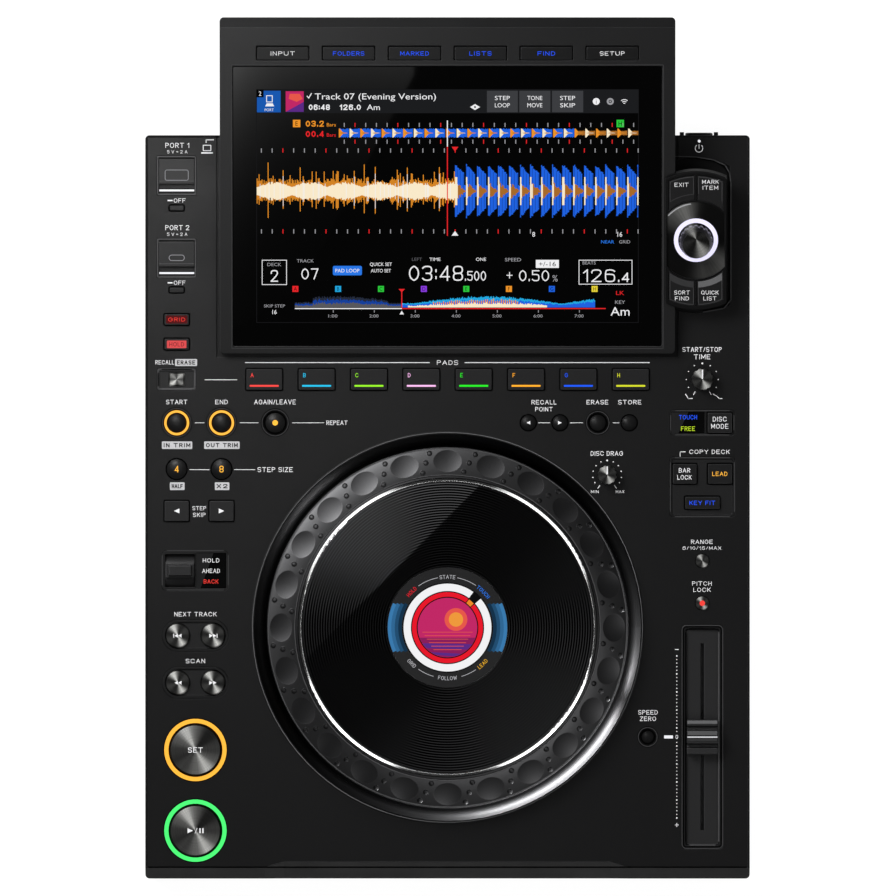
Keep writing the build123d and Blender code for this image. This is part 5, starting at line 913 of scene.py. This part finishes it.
for i in range(6):
    jog.line(JOG_FACE, [(-13.5 + 1.2 * i, -2.5 - 1.9 * i), (13.5 - 1.2 * i, -2.5 - 1.9 * i)], 0.3, "art_2", 0.21)
for string, middle, color in (("TOUCH", 45, "blue"), ("STATE", 90, "soft"), ("HOLD", 135, "red"),
                              ("GRID", 225, "soft"), ("FOLLOW", 270, "soft"), ("LEAD", 314, "amber")):
    jog.arc_word(JOG_FACE, string, 27.6, middle, 2.1, "jog_" + color)
for a0, a1 in ((56, 79), (101, 125), (235, 254), (286, 304)):
    jog.ring(JOG_FACE, *AXIS, 27.45, 27.75, "jog_soft", a0, a1, lift=0.1)
jog.done()

# ------------------------------------------------------------------ legends and lamps on the keys
SLOTS = {part["node"]: part["material_slot"] for part in frame["record"]["subparts"]}
key_marks = {}


def on_body(name):
    """The prints that ride on a body."""
    if name not in key_marks:
        key_marks[name] = Prints(f"{name}_marks", name, SLOTS["jog_rim" if name == "jog" else name])
    return key_marks[name]


def arrow(prints, sheet, x, y, size, side, color, width=None, lift=0.05):
    half = (width or size) / 2
    points = [(x - side * half, y - size / 2), (x + side * half, y), (x - side * half, y + size / 2)]
    prints.poly(sheet, points, color, lift)


# painted highlight lines along the inner and outer edges of the rim's top
for radius in (82.9, 97.3):
    on_body("jog").ring(level(RIM_Z, JOG_Y), 0, 0, radius, radius + 0.42, "rim_line", lift=0.0)
for i, letter in enumerate("abcdefgh"):
    x = (i - 3.5) * PAD_PITCH
    marks = on_body(f"hot_cue_key_{letter}")
    marks.word(KEY_TOP, letter.upper(), x - 6.6, PAD_Y + 2.3, 2.3, f"pad_{i}")
    marks.rect(KEY_TOP, x, PAD_Y - 3.5, 15.8, 1.0, f"pad_{i}", 0.3)

MENU_WORDS = (("INPUT", 13.0), ("FOLDERS", 17.0), ("MARKED", 15.5), ("LISTS", 12.0), ("FIND", 9.5), ("SETUP", 13.5))
for i, (string, width) in enumerate(MENU_WORDS):
    on_body("menu_keys").word(slope(0.9), string, (i - 2.5) * 35.8, 166.7, 2.3,
                              "white" if i in (0, 5) else "blue_lit", width)

slim = on_body("quantize_slip_keys")
slim.rect(KEY_TOP, COLUMN_1, 70.2, 11.6, 4.3, "red_dim", 0.5, lift=0.03)
slim.word(KEY_TOP, "GRID", COLUMN_1, 70.2, 2.1, "red_text", width=9.2, lift=0.07)
slim.rect(KEY_TOP, COLUMN_1, 56.7, 10.6, 4.1, "red_lit", 0.4, lift=0.03)
slim.word(KEY_TOP, "HOLD", COLUMN_1, 56.7, 2.3, "red_deep", width=8.0, lift=0.07)

for side, x, string in ((-1, COLUMN_1, "4"), (1, COLUMN_2, "8")):
    arrow(on_body("beat_jump_keys"), KEY_TOP, x, JUMP_Y, 2.7, side, "white", 3.0)
    on_body("beat_loop_keys").word(dome(x, BEAT_Y, 5.4, 2.2, 1.5), string, x, BEAT_Y, 3.6, "amber_lit", lift=0.3)
on_body("reloop_key").disc(dome(-93.8, LOOP_Y, 5.3, 1.5, 1.5), -93.8, LOOP_Y, 1.5, "amber_lit", 0.2)
for side, x in ((-1, 44.0), (1, 61.2)):
    arrow(on_body("cue_loop_call_keys"), dome(x, LOOP_Y, 4.1, 2.2, 1.5), x, LOOP_Y, 1.9, side, "white", 2.1, 0.25)

SEARCH_TOP, TRANSPORT_TOP, RING_TOP, SLOT_FLOOR, PANE = (level(z) for z in (73.6, 74.4, 71.2, 69.9, 71.71))
search = on_body("search_keys")
for y, ended in ((-101.9, True), (-127.5, False)):
    for side in (-1, 1):
        x = TRANSPORT_X + side * SEARCH_SIDE
        for step in (-1.05, 0.95):
            arrow(search, SEARCH_TOP, x + side * step, y, 2.1, side, "white", 1.9)
        if ended:
            search.rect(SEARCH_TOP, x + side * 2.25, y, 0.45, 2.1, "white")
# a painted highlight round the jog wheel's seat; black rings and lines as painted shade round the loop keys, round the
# cue and play keys and over the outer edge of their lit rings, and in the flap slots
deck.ring(level(72.5, JOG_Y), 0, 0, 105.95, 106.3, "ring_glint")
for x in (COLUMN_1, COLUMN_2):
    deck.ring(RING_TOP, x, LOOP_Y, 5.0, 5.5, "gap", lift=0.03)
for y in (CUE_Y, PLAY_Y):
    deck.ring(RING_TOP, TRANSPORT_X, y, 13.6, 14.5, "gap", lift=0.03)
    deck.ring(RING_TOP, TRANSPORT_X, y, 16.85, 17.5, "gap", lift=0.9)
for y in (140.5, 95.5):
    for side in (-1, 1):
        deck.rect(SLOT_FLOOR, COLUMN_1, y + side * 0.78, 19.6, 0.5, "gap", lift=0.03)
on_body("cue_key").word(TRANSPORT_TOP, "SET", TRANSPORT_X, CUE_Y, 2.9, "white", 8.0, stroke=0.14)
play = on_body("play_key")
arrow(play, TRANSPORT_TOP, -140.0, PLAY_Y, 2.8, 1, "white", 3.0)
play.line(TRANSPORT_TOP, [(-137.4, -209.3), (-136.3, -206.7)], 0.35, "white")
for x in (-134.7, -133.1):
    play.rect(TRANSPORT_TOP, x, PLAY_Y, 0.75, 2.7, "white")

# pale reflections in the smoked windows
deck.poly(PANE, [(121.9, 8.3), (125.7, 8.3), (131.0, 19.7), (121.9, 19.7)], "pale", 0.0)
deck.poly(PANE, [(-136.9, -76.0), (-134.4, -76.0), (-127.4, -57.0), (-136.9, -57.0)], "pale", 0.0)
for body, string, x, y, cap, color, width in (
        ("jog_mode_key", "DISC", 148.2, 16.0, 2.6, "white", 7.6),
        ("jog_mode_key", "MODE", 148.2, 12.1, 2.6, "white", 9.4),
        ("sync_keys", "BAR", 129.0, -11.9, 2.5, "white", 6.2), ("sync_keys", "LOCK", 129.0, -15.7, 2.5, "white", 7.8),
        ("sync_keys", "LEAD", 148.2, -13.8, 2.3, "amber_lit", 8.2),
        ("sync_keys", "KEY FIT", COLUMN_R, -29.6, 2.3, "blue_lit", 14.0)):
    on_body(body).word(KEY_TOP, string, x, y, cap, color, width)
on_body("tempo_keys").disc(level(73.2), COLUMN_R, -84.2, 1.5, "red_text")

for name, (x, y), radius in (("jog_feel_knob", FEEL_KNOB, 5.25), ("vinyl_speed_knob", SPEED_KNOB, 6.0)):
    on_body(name).line(level(KNOB_Z), [(x, y + 0.6), (x, y + radius * 0.82)], 0.7, "white")
slider = on_body("tempo_slider")
# painted highlights in bands across the slider's knob
for y, z, high, color in ((-148.9, 79.0, 1.7, "bright_band"), (-154.8, SLIDER_Z, 2.2, "soft_band"),
                          (-158.35, SLIDER_Z, 1.5, "band")):
    slider.rect(level(z), COLUMN_R, y, 16.2, high, color, lift=0.04)
slider.rect(level(SLIDER_Z), COLUMN_R, FADER_Y, 16.4, 0.6, "white_lit")
on_body("usb_flap_1").frame(WELL_FLOOR, COLUMN_1, 148.8, 13.0, 6.0, 0.4, "steel", 1.2)
on_body("usb_flap_2").frame(WELL_FLOOR, COLUMN_1, 103.8, 8.7, 3.4, 0.4, "steel", 1.65)
POD_TOP = slope(3.6)
pod = on_body("selector_keys")
for string, x, y, width in (("EXIT", 127.2, 143.4, 7.6), ("MARK", 142.9, 145.0, 9.0), ("ITEM", 142.9, 141.8, 8.4),
                            ("SORT", 127.5, 84.9, 8.4), ("FIND", 127.5, 81.7, 7.6), ("QUICK", 142.7, 84.9, 9.4),
                            ("LIST", 142.7, 81.7, 7.0)):
    pod.word(POD_TOP, string, x, (y - HINGE_Y) / math.cos(TILT) + 0.7, 2.2, "white", width)
DIAL_X, DIAL_UP = DIAL[0], (DIAL[1] - HINGE_Y) / math.cos(TILT)


def key_band(side, upper, r0, r1, ink):
    """A band of painted highlight round the dial, on one key of the pod."""
    inner, outer = [], []
    for step in range(21):
        x = (1.2 if side > 0 else -14.2) + 13.0 * step / 20
        for points, radius in ((inner, r0), (outer, r1)):
            points.append((DIAL_X + x, DIAL_UP + upper * math.sqrt(radius ** 2 - x ** 2)))
    if upper < 0:
        inner, outer = outer, inner
    pod.loop(POD_TOP, outer, inner, ink, 0.03, False)


for row in ((-1, -1, 22.75, 26.0, "band"), (1, -1, 22.75, 26.0, "bright_band"), (-1, 1, 25.6, 26.0, "band")):
    key_band(*row)
for side in (-1, 1):
    for upper in (-1, 1):
        key_band(side, upper, 35.2, 35.65, "glint")
        for x in (1.35, 14.1):
            ends = [(DIAL_X + side * x, DIAL_UP + upper * math.sqrt(r ** 2 - x ** 2)) for r in (26.2, 35.2)]
            pod.line(POD_TOP, ends, 0.4, "glint", 0.03)
deck.ring(slope(DIAL_RISE), DIAL_X, DIAL_UP, 20.0, 20.7, "edge_glint", 98, 138)
# painted highlights and painted shade along the edges of the display's glass
for x0, y0, x1, y1, color in ((-117.3, 2.6, -117.3, 160.0, "glint"), (-117.3, 160.2, 117.3, 160.2, "glint"),
                              (-116.7, 3.6, -116.7, 159.6, "gap"), (-116.7, 159.5, 116.7, 159.5, "gap"),
                              (117.3, 2.6, 117.3, 160.0, "glint"), (-117.3, 2.8, 117.3, 2.8, "glint")):
    painted_edge_line(x0, y0, x1, y1, 0.45, color, FACE)
# painted shade along the front edge of the deck
painted_edge_line(-163.0, -227.9, 163.0, -227.9, 0.8, "gap")
for prints in key_marks.values():
    prints.done()
deck.done()

# ------------------------------------------------------------------ picture on the display
CELL = 0.5443               # of the picture's grid, from left to right (u) and from above (v)
SCREEN_LEFT, SCREEN_TOP = -103.7, 194.9
SCREEN_INKS = {name: pixel(name + "_pixels", code) for name, code in (
    ("black", "010101"), ("edge", "161618"), ("bar", "1B1C1E"), ("tile", "3C3D40"), ("blue", "1858B0"),
    ("white", "F2F2F4"), ("grey", "9C9CA0"), ("dim", "58585C"), ("orange", "F0962A"), ("red", "E8262A"),
    ("green", "2CC83C"), ("cream", "FBEBCB"), ("wave", "1F62E0"), ("deep", "14409C"), ("brown", "A86A28"),
    ("link", "2A78E8"), ("cyan", "22A8E0"), ("violet", "8A3CE0"), ("yellow", "E8D43A"), ("navy", "232A3A"))}
SCREEN_INKS.update({name: INKS[name] for name in ("art_1", "art_2", "art_4")})
screen = Prints("display_picture", "case", "lcd", SCREEN_INKS)


def cell(u, v):
    return SCREEN_LEFT + u * CELL, (SCREEN_TOP - v * CELL - HINGE_Y) / math.cos(TILT)


def between(u0, v0, u1, v1):
    """Middle and size of the box between two cells."""
    (x0, y0), (x1, y1) = cell(u0, v0), cell(u1, v1)
    return (x0 + x1) / 2, (y0 + y1) / 2, abs(x1 - x0), abs(y1 - y0)


def box(u0, v0, u1, v1, color, lift=-0.02, radius=0.0):
    screen.rect(FACE, *between(u0, v0, u1, v1), color, radius, lift)


def hollow_box(u0, v0, u1, v1, color, line=0.9, lift=0.02):
    screen.frame(FACE, *between(u0, v0, u1, v1), line * CELL, color, 0, lift)


def note(string, u, v, cap, color="white", width=None, align=0.5, stroke=None, lift=0.04):
    x, y = cell(u, v)
    screen.word(FACE, string, x, y, cap * CELL, color, width * CELL if width else None, align,
                lift=lift, stroke=stroke)


def notes(*rows):
    for row in rows:
        note(*row)


def mark(points, color, lift=0.04):
    screen.poly(FACE, [cell(u, v) for u, v in points], color, lift)


def bars(columns, middle, color, lift):
    """Upright bars (u, width, height above, height below) about a middle line."""
    for u, w, up, down in columns:
        mark([(u, middle - up), (u + w, middle - up), (u + w, middle + down), (u, middle + down)], color, lift)


# title line
hollow_box(-0.5, -0.5, 381.5, 232.5, "edge", 0.7, -0.04)
box(0, 0, 381, 23.3, "bar", -0.03)
box(0.3, 1, 24, 22.5, "blue", 0.0)
box(0, 0, 7, 7.5, "black", 0.02)
hollow_box(9.5, 5.5, 16, 12.5, "white", 0.8)
mark([(10, 13.5), (16, 13.5), (17.5, 16.5), (8.5, 16.5)], "white")
box(29, 1.5, 47, 22, "art_1", 0.0)
mark([(29, 22), (47, 22), (47, 12), (38, 17)], "art_4", 0.02)
mark([(33, 4), (43, 4), (46, 9), (40, 12), (32, 9)], "art_2", 0.03)
screen.line(FACE, [cell(50.5, 6.4), cell(52, 8.2), cell(54.6, 3.8)], 0.5, "white", 0.04)
notes(("2", 3.4, 3.8, 4.4), ("PORT", 12.5, 20, 2.6, "white", 9),
      ("Track 07 (Evening Version)", 58, 6.6, 6.1, "white", 121, 0.0), ("06:48", 52, 17.4, 5.6, "white", 21, 0.0, 0.19),
      ("126.0", 83, 17.4, 5.6, "white", 21, 0.0, 0.19), ("Am", 110, 17.4, 5.6, "white", 13, 0.0, 0.19))
mark([(213, 17.2), (218, 14.2), (223, 17.2), (218, 20.2)], "white")
screen.disc(FACE, *cell(218, 17.2), 0.55, "black", 0.06, 16)
for u0, u1, first, second in ((229.9, 260.7, "STEP", "LOOP"), (262.2, 293.2, "TONE", "MOVE"),
                              (294.9, 326, "STEP", "SKIP")):
    box(u0, 1, u1, 22.4, "tile", 0.0)
    notes((first, (u0 + u1) / 2, 8.2, 4.2, "white", 15), (second, (u0 + u1) / 2, 15.4, 4.2, "white", 15))
screen.disc(FACE, *cell(339, 11.6), 1.9, "white", 0.03, 24)
note("i", 339, 11.6, 4.6, "bar", lift=0.06)
screen.ring(FACE, *cell(353, 11.6), 0.9, 1.9, "grey", lift=0.03)
screen.disc(FACE, *cell(353, 11.6), 0.5, "grey", 0.03, 12)
for radius in (0.9, 1.9, 2.9):
    screen.ring(FACE, *cell(367, 14.6), radius - 0.4, radius, "white", 50, 130, lift=0.03)

# beat line, and its readouts
BEAT = 10.7                 # cells to a beat
LINE_V, WAVE_V, BASE_V = 43.1, 101, 217.1
random.seed(11)
box(36.2, 29.9, 43.6, 37.3, "orange", 0.02)
box(359.3, 29.9, 366.7, 37.3, "green", 0.02)
notes(("E", 39.9, 33.7, 4.6, "black", None, 0.5, None, 0.05), ("H", 363, 33.7, 4.6, "black", None, 0.5, None, 0.05),
      ("03.2", 49, 33.8, 6.0, "orange", 18, 0.0, 0.19), ("Bars", 70, 34.8, 3.4, "orange", 9, 0.0),
      ("00.4", 49, 44.0, 6.0, "red", 18, 0.0, 0.19), ("Bars", 70, 45.0, 3.4, "red", 9, 0.0))
small = [(81 + i, 1.0, 3.6 + random.random(), 3.6 + random.random()) for i in range(300) if i % BEAT > 0.9]
bars([c for c in small if c[0] < 318], LINE_V, "wave", 0.01)
bars([(u, w, up * 0.5, down * 0.5) for u, w, up, down in small if u >= 318], LINE_V, "brown", 0.01)
for i in range(28):
    u = 82 + BEAT * i
    for sign in (-1, 1):
        mark([(u, LINE_V), (u + 9, LINE_V), (u + 4, LINE_V + sign * 0.9), (u + 1, LINE_V + sign * 4.4),
              (u, LINE_V + sign * 4.4)], "cream" if i % 2 else "orange", 0.03)
        mark([(u + 1, LINE_V), (u + 8, LINE_V), (u + 4, LINE_V + sign * 0.6)], "brown", 0.05)
    for v in (35.0, 51.7):
        bars([(u + 5, 0.9, 2.0, 2.0)], v, "red" if i % 4 == 1 else "grey", 0.02)

# main waveform
random.seed(23)
outer, core, white, blocks, inner, tips = [], [], [], [], [], []
for i in range(198):
    beat = (i % BEAT) / BEAT
    swing = math.exp(-4.5 * beat) + 0.6 * math.exp(-6 * abs(beat - 0.5))
    peak = 8 + 26 * swing * random.uniform(0.35, 1.0) if random.random() < 0.3 else 7 + 6 * random.random()
    outer.append((i, 0.75, peak, peak * random.uniform(0.8, 1.0)))
    body = 4.0 + 5.5 * abs(math.sin(i * 0.09)) * random.uniform(0.5, 1)
    core.append((i, 1.0, body, body))
    if random.random() < 0.22:
        white.append((i + 0.1, 0.55, peak * 0.72, peak * 0.72))
for i in range(183):
    u = 198 + i
    phase = (i % BEAT) / BEAT
    height = 27.5 * (1 - 0.42 * phase) * random.uniform(0.92, 1) * (1 if phase < 0.84 else 0.35)
    blocks.append((u, 1.0, height, height))
    inner.append((u, 1.0, 11 * (1 - phase) * random.uniform(0.5, 1), 11 * (1 - phase) * random.uniform(0.5, 1)))
    if phase < 0.1:
        tips.append((u, 1.3, 14, 14))
    elif phase < 0.2:
        tips.append((u, 0.8, 7, 7))
shadows = [(u, 0.5, up * 0.93, down * 0.93) for u, w, up, down in blocks[2::3]]
for columns, color, lift in ((outer, "orange", 0.0), (core, "cream", 0.02), (white, "white", 0.03),
                             (blocks, "wave", 0.0), (shadows, "deep", 0.01), (inner, "brown", 0.02),
                             (tips, "cream", 0.03)):
    bars(columns, WAVE_V, color, lift)
for i in range(36):
    for v in (60.5, 141.2):
        bars([(4.2 + 10.75 * i, 0.9, 2.1, 2.1)], v, "red" if i % 4 == 2 else "grey", 0.02)
box(189.9, 30.6, 190.9, 56.6, "white", 0.05)
box(189.9, 56.6, 190.9, 145.6, "red", 0.05)
mark([(194.6, 56.8), (201.4, 56.8), (198, 61.4)], "red")
mark([(194.6, 145.4), (201.4, 145.4), (198, 140.8)], "white")
notes(("8", 276.6, 144.1, 4.8), ("16", 362.7, 144.1, 4.8), ("NEAR", 344, 151.6, 3.2, "link", 13, 0.0),
      ("GRID", 362, 151.6, 3.2, "grey", 11, 0.0))

# readouts below
hollow_box(5, 169.6, 30, 194.6, "white", 0.65)
hollow_box(321.6, 169.6, 375.2, 194.2, "white", 0.65)
box(76, 175.6, 105, 185, "link", 0.02, 0.9)
box(278.8, 169.6, 301.8, 177.6, "white", 0.02)
notes(("DECK", 17.5, 174.2, 3.2, "grey", 14), ("2", 17.5, 185.6, 12.0, "white", None, 0.5, 0.1),
      ("TRACK", 40, 170.6, 3.2, "grey", 17, 0.0), ("07", 53, 183.6, 11.2, "white", 17, 0.5, 0.1),
      ("PAD LOOP", 90.5, 180.3, 3.6, "white", 24, 0.5, None, 0.05), ("QUICK SET", 124, 174, 3.4, "white", 22),
      ("AUTO SET", 124, 180.4, 3.4, "white", 20), ("LEFT", 160, 169, 3.2, "dim", 10),
      ("TIME", 178, 169, 3.2, "white", 11), ("ONE", 224, 169, 3.2, "white", 10),
      ("03:48", 152, 183.0, 15.4, "white", 54, 0.0, 0.085), (".500", 208, 185.6, 9.8, "white", 21, 0.0, 0.1),
      ("SPEED", 256, 169.4, 3.4, "grey", 16), ("+", 252.5, 185, 12, "white", None, 0.5, 0.07),
      ("0.50", 277, 185.4, 11.2, "white", 30, 0.5, 0.095), ("%", 298, 188, 6.4, "grey"),
      ("+/-16", 290.3, 173.7, 4.6, "black", 17, 0.5, None, 0.05), ("BEATS", 332, 172.6, 3.2, "grey", 13),
      ("126", 326, 185.4, 13, "white", 32, 0.0, 0.09), (".4", 361, 187.0, 9.6, "white", 11, 0.0, 0.13))

# overview
random.seed(5)
for letter, u, color in (("A", 38.5, "red"), ("B", 81.2, "cyan"), ("C", 124, "green"), ("D", 166.9, "violet"),
                         ("E", 209.3, "green"), ("F", 251.9, "orange"), ("G", 294.8, "wave"), ("H", 337.5, "yellow")):
    box(u - 3, 195.6, u + 3, 201.6, color, 0.03)
    note(letter, u, 198.6, 3.8, "black", lift=0.06)
low, warm, pale = [], [], []
for i in range(300):
    u = 38 + i
    swell = 0.35 + 0.65 * abs(math.sin(i * 0.021 + 0.7)) * (0.25 if i < 18 or 92 < i < 112 else 1)
    top = 11.5 * swell * random.uniform(0.82, 1)
    low.append((u, 1.0, top, 0))
    warm.append((u, 1.0, top * random.uniform(0.62, 0.8), 0))
    pale.append((u, 1.0, top * random.uniform(0.3, 0.5), 0))
for columns, start, end, step, color, lift in (
        (low, 145, 400, 1, "cyan", 0.0), (warm, 145, 400, 1, "wave", 0.01), (pale, 151, 290, 1, "cream", 0.02),
        (warm, 176, 262, 2, "orange", 0.015), (low, 0, 145, 1, "navy", 0.0), (warm, 0, 145, 1, "deep", 0.01),
        (pale, 0, 145, 1, "dim", 0.02)):
    bars([c for c in columns if start <= c[0] < end][::step], BASE_V, color, lift)
box(38, 217.7, 145, 218.7, "white", 0.03)
box(145, 217.7, 348.6, 218.7, "red", 0.03)
box(144.3, 199, 145.3, 218, "red", 0.05)
mark([(141.6, 198.6), (148, 198.6), (144.8, 202)], "red", 0.06)
mark([(142.6, 224), (147, 224), (144.8, 220.4)], "white", 0.06)
for i in range(7):
    u = 76 + 41 * i
    bars([(u, 0.7, 1.2, 1.2)], 221.0, "grey", 0.02)
    note(f"{i + 1}:00", u, 225.6, 3.0, "grey", 9)
notes(("SKIP STEP", 17.6, 215.6, 3.0, "grey", 21), ("16", 17.6, 221.6, 4.4), ("LK", 363, 202.6, 4.0, "red", 8),
      ("KEY", 363, 211.8, 3.4, "grey", 10), ("Am", 363, 221.0, 8.6, "white", 19))
screen.done()

# ------------------------------------------------------------------ floor, light and camera
bpy.ops.mesh.primitive_plane_add(size=14, location=(0, 0, 0))
floor = bpy.context.object          # its size and the places of the lights are in metres
floor.name = "floor"
paper = Shader("floor_paper", color=[0.2, 0.2, 0.2, 1], rough=0.9, Specular_IOR_Level=0.1)
paper.set("Emission Color", [1, 1, 1, 1])
paper.set("Emission Strength", 0.93)
paper.bump(paper.noise(2.0, 3), 0.02)
floor.data.materials.append(paper.material)


def area(name, place, size, power, glossy=True, target=(0, 0, 0.05)):
    data = bpy.data.lights.new(name, "AREA")
    data.shape = "SQUARE"
    data.size = size
    data.energy = power
    made = add_object(name, data)
    made.location = place
    made.rotation_euler = (Vector(target) - Vector(place)).to_track_quat("-Z", "Y").to_euler()
    made.visible_camera = False
    made.visible_glossy = glossy
    return made


def lights_only(light, names):
    """The light falls on these CAD nodes alone."""
    group = bpy.data.collections.new(light.name + "_receivers")
    for name in names:
        group.objects.link(nodes[name])
    light.light_linking.receiver_collection = group


area("key_light", (-1.3, 1.3, 2.6), 1.4, 95, glossy=False)
area("fill_light", (0.9, -0.6, 3.0), 2.4, 45, glossy=False)
MIRRORS = ("display_glass", "jog_plate", "indicator_windows", "jog_display", "jog_trim", "jog_rim")
for name, place, size, power in (("sheen_light", (-0.23, 0.26, 0.4), 0.2, 0.76),
                                 ("wide_sheen_light", (-0.14, 0.08, 0.45), 0.3, 0.17)):
    sheen = area(name, place, size, power, target=(place[0], place[1], 0))
    sheen.visible_diffuse = False
    lights_only(sheen, [node for node in nodes if node not in MIRRORS])
# low strips beside the jog wheel: they stay under its crown, so that they light its skirt alone
for name, place, size, power in (("skirt_light", (0.29, -0.41, 0.0795), 0.55, 19.0),
                                 ("far_skirt_light", (-0.35, 0.25, 0.0795), 0.2, 0.6)):
    strip = area(name, place, size, power, target=(0, JOG_Y * MM, place[2]))
    strip.data.shape = "RECTANGLE"
    strip.data.size_y = 0.014
    lights_only(strip, ["jog_rim"])


class Glow:
    """The brightness of a panel, worked out from the place on it; lengths are in metres."""

    def __init__(self, name, corners, receivers):
        mesh = bpy.data.meshes.new(name)
        mesh.from_pydata([Vector(c) for c in corners], [], [tuple(range(len(corners)))])
        self.object = add_object(name, mesh)
        self.shader = Shader(name)
        tree = self.shader.tree
        self.emit = self.shader.node("ShaderNodeEmission")
        clear = self.shader.node("ShaderNodeBsdfTransparent")
        both = self.shader.node("ShaderNodeAddShader")
        output = next(n for n in tree.nodes if n.type == "OUTPUT_MATERIAL")
        for source, target in ((self.emit, both.inputs[0]), (clear, both.inputs[1]), (both, output.inputs[0])):
            tree.links.new(source.outputs[0], target)
        tree.nodes.remove(self.shader.bsdf)
        mesh.materials.append(self.shader.material)
        for name in ("camera", "diffuse", "shadow", "transmission"):
            setattr(self.object, "visible_" + name, False)
        lights_only(self.object, receivers)

    def strength(self, value):
        self.shader.feed(self.emit.inputs["Strength"], value)


def round_panel(name, receivers, height, radius, stops, reach, edge=None, lean=0.0):
    """A round panel close over the jog wheel: its brightness by the angle and by the distance from the axis."""
    spread = 1 + height / 20.0
    disc = [(spread * x * MM, spread * (y + JOG_Y) * MM, 0.087 + height)
            for x, y in arc(0, 0, radius, 0, 360, 48)[:-1]]
    panel = Glow(name, disc, receivers)
    shade = panel.shader
    offset = shade.vector("SUBTRACT", shade.mm(), (0, JOG_Y * spread, 0))
    px, py = shade.split(offset)[:2]
    angle = shade.math("ARCTAN2", py, px)
    turns = shade.math("FRACT", shade.plus(shade.math("DIVIDE", angle, 2 * math.pi), 1.0))
    ramp = shade.node("ShaderNodeValToRGB", Fac=turns)
    while len(ramp.color_ramp.elements) < len(stops):
        ramp.color_ramp.elements.new(0.5)
    top = max(value for _, value in stops)
    for element, (degrees, value) in zip(ramp.color_ramp.elements, stops):
        element.position = degrees / 360
        element.color = (value / top, value / top, value / top, 1)
    away = shade.vector("LENGTH", shade.vector("MULTIPLY", offset, (1, 1, 0)), output=1)
    light = shade.times(ramp.outputs[0], shade.spread(away, *reach))
    toward = shade.vector("DOT_PRODUCT", offset, (-math.sqrt(0.5), math.sqrt(0.5), 0), output=1)
    if lean:
        past = shade.minus(1.0, shade.math("DIVIDE", 91.0 * spread, shade.math("MAXIMUM", away, 20.0)))
        leaned = shade.times(shade.times(toward, past), lean)
        light = shade.times(light, shade.math("POWER", math.e, leaned))
    if edge:
        beyond = shade.spread(toward, edge - 0.3, edge + 0.3)
        light = shade.times(light, shade.plus(beyond, shade.spread(toward, 0, -25, 0, 1), clamp=True))
        light = shade.plus(light, 0.05)
    panel.strength(shade.times(light, top))


round_panel("plate_panel", ["jog_plate"], 0.025, 96,
            ((0, 0.16), (20, 0.08), (76.6, 0.07), (77.4, 0.72), (100, 0.78), (128, 1.15), (140, 1.1), (160, 0.42),
             (176, 0.12), (200, 0.06), (240, 0.08), (262, 0.17), (285, 0.26), (310, 0.3), (335, 0.28), (359.9, 0.17)),
            (35, 78, 0.55, 1.05), edge=42.5)
round_panel("rim_panel", ["jog_rim"], 0.08, 150,
            ((0, 0.45), (15, 0.28), (30, 0.24), (45, 0.26), (60, 0.45), (75, 0.75), (90, 1.15), (105, 2.3),
             (120, 3.4), (135, 3.65), (150, 2.6), (165, 1.3), (180, 0.7), (195, 0.45), (210, 0.34), (225, 0.28),
             (240, 0.38), (255, 0.5), (270, 0.68), (285, 0.82), (300, 0.88), (315, 0.88), (330, 0.75), (345, 0.58),
             (359.9, 0.45)),
            (0, 1, 1, 1), lean=0.03)
petals = []
for turn, bright in ((45, 1.8), (135, 1.9), (225, 3.5), (315, 4.4)):
    petals += [(turn - 26, 0.004), (turn - 18, bright), (turn + 18, bright), (turn + 26, 0.004)]
round_panel("trim_panel", ["jog_trim"], 0.06, 330, petals, (0, 1, 1, 1))


def above_glass(x, y):
    """The place on a panel half a metre off that the sloping glass at (x, y) shows from straight above."""
    start = FACE.at(x, (y - HINGE_Y) / math.cos(TILT), 0)
    return start + Vector((0, -math.sin(2 * TILT), math.cos(2 * TILT))) * 0.5


GLASS_LIT = ((-18.2, 230), (-18.8, 208), (-83, 88), (-128, 62), (-128, 230))
over_glass = Glow("glass_panel", [above_glass(x, y) for x, y in GLASS_LIT], ["display_glass"])
shade = over_glass.shader
px, py = shade.split(shade.vector("SUBTRACT", shade.mm(), tuple(above_glass(-115, 205) / MM)))[:2]
down = shade.times(py, -1.0 / math.cos(2 * TILT))
haze = shade.math("POWER", math.e, shade.math("DIVIDE", down, -26.0))
corner = shade.math("POWER", math.e, shade.math("DIVIDE", shade.plus(px, shade.times(down, 0.5)), -17.0))
over_glass.strength(shade.plus(shade.times(haze, 0.28), shade.times(corner, 0.62)))

world = bpy.data.worlds.new("studio")
bpy.context.scene.world = world
world.use_nodes = True
world.node_tree.nodes["Background"].inputs["Color"].default_value = (1, 1, 1, 1)
world.node_tree.nodes["Background"].inputs["Strength"].default_value = 0.03

# 20 metres over the deck, so that the view is almost parallel; the picture is 0.4877 metres across there
SENSOR, FAR, ACROSS = 36, 20.0, 0.4877
camera_data = bpy.data.cameras.new("camera")
camera_data.sensor_width = SENSOR
camera_data.sensor_fit = "AUTO"
camera_data.lens = SENSOR * FAR / ACROSS
camera_data.clip_start = 0.1
camera_data.clip_end = 60
camera = add_object("camera", camera_data)
camera.location = (0, 0.00027, FAR + DECK_Z * MM)
camera.rotation_euler = (0, 0, 0)
bpy.context.scene.camera = camera
bpy.context.scene.view_settings.view_transform = "Standard"
bpy.context.scene.view_settings.look = "None"
